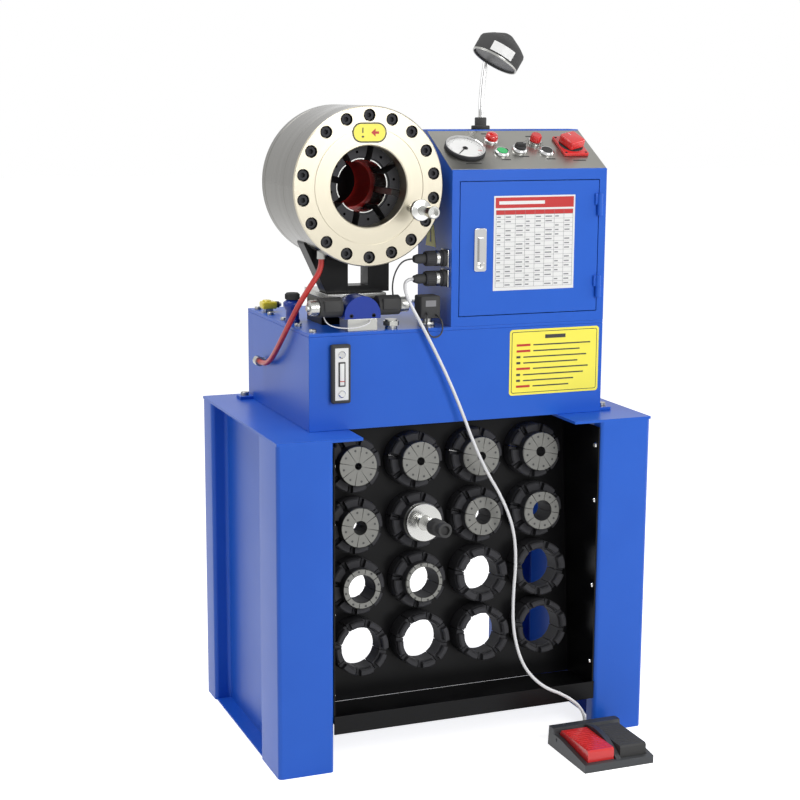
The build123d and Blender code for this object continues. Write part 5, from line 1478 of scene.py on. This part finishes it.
    def _caps(self) -> None:
        """Make the push caps, the selector's bar knob and the timer's fluted knob."""
        for name, place, finish in (("green", self.green, GREEN_PLASTIC), ("black", self.black, BLACK_PLASTIC)):
            mould = Mould()
            mould.lathe([(0, 0.0042), (0.0098, 0.0042), (0.0100, 0.0045), (0.0098, 0.0057), (0.0088, 0.0060),
                         (0.0050, 0.0057), (0, 0.0056)], self.at(place), finish, steps=48)
            mould.finish(f"{name}_cap", f"{name}_button", f"{name}_button", slot=f"{name}_plastic", smooth=50)
        mould = Mould()
        knob = self.at(self.selector, 0.0063)
        mould.lathe([(0, 0), (0.0108, 0), (0.0110, 0.0004), (0.0105, 0.0028), (0, 0.0030)], knob, BLACK_PLASTIC,
                    steps=48)
        mould.slab((-0.0090, -0.0034, 0.0025), (0.0090, 0.0034, 0.0089), BLACK_PLASTIC, knob, 0.0012, 3)
        mould.slab((0.0035, -0.0005, 0.0086), (0.0085, 0.0005, 0.00895), WHITE_SIGN_AND_HIGHLIGHT, knob)
        mould.finish("selector_knob", "selector", "selector", slot="black_plastic", smooth=40)
        mould = Mould()
        knob = self.at(self.timer, 0.0063)
        mould.lathe([(0, 0), (0.0100, 0), (0.0100, 0.0100), (0.0088, 0.0118), (0, 0.012)], knob, RED_PLASTIC,
                    steps=48)
        for flute in range(18):
            rib = knob @ Matrix.Rotation(radians(20 * flute), 4, "Z")
            mould.slab((0.0095, -0.0007, 0.0005), (0.0104, 0.0007, 0.0095), RED_PLASTIC, rib)
        mould.finish("timer_cap", "timer_knob", "timer_knob", slot="red_plastic", smooth=40)

    def _main_switch(self) -> None:
        """Make the main switch: plate, four screws, ring and the square knob with its bar."""
        spot = self.at(self.switch)
        mould = Mould()
        mould.prism(rounded(0.051, 0.062, 0.003), 0.0055, spot, RED_PLASTIC, 0.0012, 3)
        mould.lathe([(0, 0.0054), (0.0235, 0.0054), (0.0228, 0.0060), (0, 0.0060)], spot, BLACK_PLASTIC, steps=64)
        for side_x in (-1, 1):
            for side_y in (-1, 1):
                screw = spot @ Matrix.Translation((side_x * 0.0205, side_y * 0.026, 0.0050))
                mould.socket_screw(0.0024, 0.0008, screw, BLACK_OXIDE_AND_SHADE)
        mould.finish("switch_plate", "stand", "main_switch_plate", slot="red_plastic", smooth=40)
        mould = Mould()
        knob = self.at(self.switch, 0.0063, 20.0)
        mould.prism(rounded(0.0370, 0.0370, 0.006), 0.0168, knob, RED_PLASTIC, 0.0035, 4)
        mould.slab((-0.0007, 0.007, 0.0160), (0.0007, 0.0135, 0.0170), WHITE_SIGN_AND_HIGHLIGHT, knob)
        mould.finish("switch_knob", "main_switch", "main_switch_knob", slot="red_plastic", smooth=40)

    def _marks(self) -> None:
        """Make the printed bars under the controls and the ticks round the timer."""
        mould = Mould()
        for u, v, long in ((0.114, 0.124, 0.022), (0.119, 0.035, 0.018), (0.159, 0.045, 0.020), (0.210, 0.036, 0.018),
                           (0.199, 0.114, 0.018), (0.050, 0.023, 0.030), (0.266, 0.030, 0.026)):
            mould.slab((-long / 2, -0.0016, -0.0001), (long / 2, 0.0016, 0.0002), BLACK_INK_AND_SHADE, self.at((u, v)))
        for number in range(11):
            tick = self.at(self.timer) @ Matrix.Rotation(radians(240 - 30 * number), 4, "Z")
            mould.slab((0.0145, -0.0003, -0.0001), (0.0175, 0.0003, 0.0002), BLACK_INK_AND_SHADE, tick)
        mould.finish("panel_marks", "stand")


@dataclass
class WorkLamp:
    """The gooseneck lamp on the cabinet's roof."""

    tilt: float = radians(31.5)
    rim: Point = (0.1096, 0.0099, 1.258)
    pivot: Point = (0.11744, 0.0605, 1.27079)
    foot_x: float = 0.107
    vents: int = 16

    def build(self) -> None:
        """Make the foot, neck, eye and lamp head."""
        self._arm()
        self._head()

    def _arm(self) -> None:
        """Make the foot, stem, gooseneck and eye."""
        low = box_of("lamp_arm")[0]
        foot = aim((self.foot_x, self.pivot[1], low.z), Z_WAY, X_WAY)
        mould = Mould()
        mould.lathe([(0, 0), (0.0172, 0), (0.0175, 0.0005), (0.0172, 0.0062), (0.0160, 0.0070), (0.0109, 0.0072),
                     (0.0110, 0.0205), (0.0098, 0.022), (0.0052, 0.022), (0, 0.022)], foot, BLACK_PLASTIC, steps=48)
        neck = [(0.107, 0.0605, low.z + 0.020), (0.1072, 0.0605, low.z + 0.034), (0.1078, 0.0605, low.z + 0.052),
                (0.1090, 0.0605, low.z + 0.070), (0.1106, 0.0605, low.z + 0.087), (0.1128, 0.0605, low.z + 0.104),
                (0.1150, 0.0605, low.z + 0.120), self.pivot]
        mould.tube(neck, 0.0049, CHROME, 24)
        eye = aim((self.pivot[0], 0.0558, self.pivot[2]), Y_WAY, X_WAY)
        mould.lathe([(0.00306, 0), (0.0082, 0), (0.009, 0.0008), (0.009, 0.0102), (0.0082, 0.011), (0.00306, 0.011)],
                    eye, BLACK_PLASTIC, steps=48)
        mould.finish("lamp_stand", "stand", "lamp_arm", slot="steel", smooth=40)

    def _head(self) -> None:
        """Make the lamp head: rolled rim, reflector lens painted dark as shade, vented dome with vents as painted
        shade, a white strip as a painted highlight, and pivot screw.
        """
        out = Vector((sin(self.tilt), 0, cos(self.tilt)))
        spot = aim(self.rim, out, Y_WAY)
        mould = Mould()
        mould.lathe([(0.0, 0.0035), (0.0405, 0.0035), (0.0418, 0.0012), (0.0435, 0), (0.0446, 0.0004),
                     (0.045, 0.0015), (0.045, 0.0290), (0.0435, 0.0325), (0.0360, 0.0385), (0.0255, 0.0450),
                     (0.0235, 0.0460), (0.0225, 0.0470), (0.0110, 0.0535), (0.0090, 0.0545), (0, 0.0545)], spot,
                    BLACK_PLASTIC)
        mould.lathe([(0.0428, 0.0001), (0.0445, -0.0004), (0.0451, 0.0006), (0.0451, 0.0030), (0.0440, 0.0030),
                     (0.0430, 0.0012)], spot, ZINC, steps=96)
        # Dark lens: painted shade.
        mould.lathe([(0, 0.0030), (0.0400, 0.0030), (0.0400, 0.0037), (0, 0.0037)], spot, LENS_PAINTED_SHADE, steps=96)
        # Flat black marks on the dome stand for its vent slots: painted shade of the openings.
        for number in range(self.vents):
            slot = spot @ Matrix.Rotation(radians(360 / self.vents * number + 11), 4, "Z")
            slot = slot @ Matrix.Translation((0.0306, 0, 0.0415))
            slot = slot @ Matrix.Rotation(radians(33), 4, "Y")
            mould.slab((-0.0040, -0.0012, -0.0003), (0.0040, 0.0012, 0.0007), BLACK_INK_AND_SHADE, slot)
        # A white strip on the black shade, turned to face the camera: a painted highlight where the shade's front
        # reflects the light.
        plate = spot @ Matrix.Rotation(radians(165), 4, "Z")
        mould.sector([(0.0447, 0.0060), (0.0453, 0.0060), (0.0453, 0.0240), (0.0447, 0.0240)], plate, WHITE_SIGN_AND_HIGHLIGHT,
                     29.0, 16)
        pin = aim((self.pivot[0], 0.0519, self.pivot[2]), Y_WAY, X_WAY)
        mould.lathe([(0, -0.001), (0.003, -0.001), (0.003, 0.0145), (0, 0.0145)], pin, ZINC, steps=32)
        mould.finish("lamp_shade", "lamp_head", "lamp_head", slot="black_plastic", smooth=35)


@dataclass
class FootPedal:
    """The cast double foot pedal."""

    def build(self) -> None:
        """Make the casting and both paddles."""
        dress("pedal_housing", PEDAL_CAST, "stand", "pedal_paint", 0.0018)
        for colour, finish in (("red", RED_PLASTIC), ("black", BLACK_PLASTIC)):
            self._paddle(colour, finish)

    def _paddle(self, colour: str, finish: Finish) -> None:
        """Make one paddle with its grip ribs.

        Args:
            colour: Its name's first word.
            finish: Its finish.
        """
        name = f"{colour}_paddle"
        low, high = box_of(name)
        mould = Mould()
        mould.from_node(name, finish)
        for number in range(11):
            front = low.y + 0.010 + number * 0.0082
            mould.slab((low.x + 0.004, front, high.z - 0.0012), (high.x - 0.004, front + 0.0032, high.z + 0.0006),
                       finish, soft=0.0004, rounds=1)
        mould.finish(f"{colour}_treadle", name, name, slot=f"{colour}_plastic", soft=0.0012)


@dataclass
class Cords:
    """The drain hose, the pedal's cable and the thin wires on the machine."""

    hose_d: float = 0.010
    cable_d: float = 0.006
    wire_d: float = 0.003
    thin_d: float = 0.002
    hose_length: float = 0.340
    cable_length: float = 0.993
    run_share: float = 0.96
    hose: tuple[Point, ...] = (
        (-0.240, -0.0325, 0.911), (-0.240, -0.0325, 0.893), (-0.258, -0.0315, 0.866), (-0.278, -0.0225, 0.832),
        (-0.290, 0.0035, 0.790), (-0.294, 0.0485, 0.748), (-0.293, 0.0995, 0.714), (-0.293, 0.1395, 0.698),
        (-0.293, 0.1735, 0.698))
    cable: tuple[Point, ...] = (
        (-0.075, -0.0585, 0.872), (-0.088, -0.0585, 0.872), (-0.098, -0.0725, 0.858), (-0.093, -0.0885, 0.832),
        (-0.074, -0.0965, 0.795), (-0.050, -0.0985, 0.750), (-0.023, -0.1005, 0.696), (0.002, -0.1035, 0.638),
        (0.024, -0.1065, 0.580), (0.050, -0.1095, 0.522), (0.083, -0.1145, 0.467), (0.106, -0.1185, 0.407),
        (0.109, -0.1245, 0.345), (0.101, -0.1305, 0.283), (0.099, -0.1365, 0.222), (0.108, -0.1435, 0.172),
        (0.124, -0.1515, 0.136), (0.152, -0.1655, 0.108), (0.188, -0.1695, 0.092), (0.219, -0.1705, 0.070),
        (0.237, -0.1685, 0.045), (0.240, -0.1635, 0.022), (0.240, -0.1755, 0.022))
    upper_wire: tuple[Point, ...] = (
        (-0.075, -0.0585, 0.908), (-0.086, -0.0585, 0.908), (-0.100, -0.0600, 0.902), (-0.112, -0.0615, 0.884),
        (-0.116, -0.0600, 0.862), (-0.113, -0.0565, 0.845), (-0.112, -0.0545, 0.840))
    white_wire: tuple[Point, ...] = (
        (-0.246, -0.0610, 0.8120), (-0.247, -0.0700, 0.8060), (-0.243, -0.0840, 0.7990), (-0.228, -0.0900, 0.7945),
        (-0.208, -0.0905, 0.7930), (-0.188, -0.0890, 0.7940), (-0.172, -0.0860, 0.7985), (-0.166, -0.0820, 0.8020),
        (-0.164, -0.0770, 0.8030))
    front_wire: tuple[Point, ...] = (
        (-0.056, -0.0755, 0.8120), (-0.058, -0.0860, 0.8110), (-0.062, -0.0930, 0.8020), (-0.063, -0.0950, 0.7850),
        (-0.056, -0.0950, 0.7720), (-0.042, -0.0945, 0.7690), (-0.032, -0.0940, 0.7780), (-0.031, -0.0925, 0.7930),
        (-0.034, -0.0870, 0.8050), (-0.038, -0.0755, 0.8080))

    def build(self) -> None:
        """Make each cord as one smooth spline."""
        self._cord("drain_hose_skin", self.hose, self.hose_d, self.hose_length, RED_HOSE, "drain_hose")
        self._cord("pedal_lead", self.cable, self.cable_d, self.cable_length, WHITE_CABLE, "pedal_cable")
        self._cord("solenoid_wire", self.upper_wire, self.wire_d, 0.0, BLACK_CABLE, "")
        self._cord("float_wire", self.white_wire, self.thin_d, 0.0, WHITE_CABLE, "")
        self._cord("switch_wire", self.front_wire, self.wire_d, 0.0, BLACK_CABLE, "")

    def _cord(self, name: str, points: tuple[Point, ...], diameter: float, length: float, finish: Finish,
              node: str) -> None:
        """Make one cord.

        Args:
            name: The piece's name.
            points: Its control points.
            diameter: Its diameter.
            length: Its real length, or 0 for the runs' own.
            finish: Its finish.
            node: The CAD node that it replaces, if any.
        """
        curve = bpy.data.curves.new(name, "CURVE")
        curve.dimensions = "3D"
        fill_spline(curve, list(points))
        curve.bevel_depth = diameter / 2
        curve.bevel_resolution = 5
        curve.resolution_u = 12
        curve.use_fill_caps = True
        curve.materials.append(finish.material())
        piece = bpy.data.objects.new(name, curve)
        bpy.context.scene.collection.objects.link(piece)
        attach(piece, "stand")
        if node:
            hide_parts(node)
        if not length:
            length = sum((Vector(b) - Vector(a)).length for a, b in zip(points, points[1:])) * self.run_share
        LOG.info("made cord %s", name)


@dataclass
class Studio:
    """The camera, the floor, the lamps and the world."""

    place: Point = (-1.18823, -2.80212, 1.20619)
    yaw: float = radians(21.653)
    pitch: float = radians(10.623)
    roll: float = radians(0.337)
    lens: float = 74.48

    def camera(self) -> None:
        """Make the camera."""
        forward = Vector((sin(self.yaw) * cos(self.pitch), cos(self.yaw) * cos(self.pitch), -sin(self.pitch)))
        right = Vector((cos(self.yaw), -sin(self.yaw), 0))
        up = right.cross(forward)
        side = right * cos(self.roll) + up * sin(self.roll)
        top = up * cos(self.roll) - right * sin(self.roll)
        data = bpy.data.cameras.new("camera")
        data.lens = self.lens
        data.sensor_width = 36.0
        data.clip_start = 0.05
        eye = bpy.data.objects.new("camera", data)
        eye.matrix_world = Matrix.Translation(self.place) @ Matrix((side, top, -forward)).transposed().to_4x4()
        bpy.context.scene.collection.objects.link(eye)
        bpy.context.scene.camera = eye

    def room(self) -> None:
        """Make the floor, the lamps and the world."""
        self._floor()
        self._lamp("key", (0.7, -3.1, 1.9), (0.0, 0.0, 0.65), 1.5, 58.0)
        self._lamp("side", (2.9, -0.9, 1.8), (0.0, 0.0, 0.6), 1.6, 34.0)
        self._lamp("top", (-0.9, 0.1, 3.0), (-0.1, 0.0, 0.9), 1.2, 26.0)
        self._lamp("left", (-2.9, 0.4, 1.6), (0.0, 0.0, 0.9), 1.0, 11.0)
        self._world()

    def _floor(self) -> None:
        """Make a pale floor that stays white to the camera away from the shadow."""
        bm = bmesh.new()
        bmesh.ops.create_grid(bm, x_segments=1, y_segments=1, size=20.0)
        mesh = bpy.data.meshes.new("floor")
        bm.to_mesh(mesh)
        bm.free()
        material = bpy.data.materials.new("floor_white")
        material.use_nodes = True
        nodes, links = material.node_tree.nodes, material.node_tree.links
        shader = nodes["Principled BSDF"]
        shader.inputs["Base Color"].default_value = (0.90, 0.90, 0.90, 1)
        shader.inputs["Roughness"].default_value = 0.85
        shader.inputs["Specular IOR Level"].default_value = 0.1
        shader.inputs["Emission Color"].default_value = (1, 1, 1, 1)
        path = nodes.new("ShaderNodeLightPath")
        seen = nodes.new("ShaderNodeMath")
        seen.operation = "MAXIMUM"
        links.new(path.outputs["Is Camera Ray"], seen.inputs[0])
        links.new(path.outputs["Is Glossy Ray"], seen.inputs[1])
        lift = nodes.new("ShaderNodeMath")
        lift.operation = "MULTIPLY"
        lift.inputs[1].default_value = 0.80
        links.new(seen.outputs[0], lift.inputs[0])
        links.new(lift.outputs[0], shader.inputs["Emission Strength"])
        mesh.materials.append(material)
        floor = bpy.data.objects.new("floor", mesh)
        bpy.context.scene.collection.objects.link(floor)

    def _lamp(self, name: str, place: Point, target: Point, size: float, power: float) -> None:
        """Make one soft lamp.

        Args:
            name: Its name.
            place: Where it stands.
            target: Where it points.
            size: Its side.
            power: Its watts.
        """
        data = bpy.data.lights.new(name, "AREA")
        data.shape = "SQUARE"
        data.size = size
        data.energy = power
        lamp = bpy.data.objects.new(name, data)
        lamp.location = place
        lamp.rotation_euler = (Vector(target) - Vector(place)).to_track_quat("-Z", "Y").to_euler()
        bpy.context.scene.collection.objects.link(lamp)

    def _world(self) -> None:
        """Make a world that is white to the camera, gloss and glass, and soft grey light."""
        world = bpy.data.worlds.new("studio")
        world.use_nodes = True
        nodes, links = world.node_tree.nodes, world.node_tree.links
        path = nodes.new("ShaderNodeLightPath")
        either = nodes.new("ShaderNodeMath")
        either.operation = "MAXIMUM"
        links.new(path.outputs["Is Camera Ray"], either.inputs[0])
        links.new(path.outputs["Is Transmission Ray"], either.inputs[1])
        both = nodes.new("ShaderNodeMath")
        both.operation = "MAXIMUM"
        links.new(either.outputs[0], both.inputs[0])
        links.new(path.outputs["Is Glossy Ray"], both.inputs[1])
        strength = nodes.new("ShaderNodeMapRange")
        strength.inputs["To Min"].default_value = 0.26
        strength.inputs["To Max"].default_value = 1.0
        links.new(both.outputs[0], strength.inputs["Value"])
        sky = nodes["Background"]
        sky.inputs["Color"].default_value = (1, 1, 1, 1)
        links.new(strength.outputs["Result"], sky.inputs["Strength"])
        bpy.context.scene.world = world


def main() -> None:
    """Build the machine's pieces in order."""
    logging.basicConfig(level=logging.INFO, format="%(message)s")
    bpy.context.scene.view_settings.view_transform = "Standard"
    studio = Studio()
    studio.camera()
    Cords().build()
    for group in (Stand(), DieRack(), OilTank(), CrimpHead(), ValveGroup(), Cabinet(), ControlPanel(), WorkLamp(),
                  FootPedal()):
        group.build()
    studio.room()


if __name__ == "__main__":
    main()
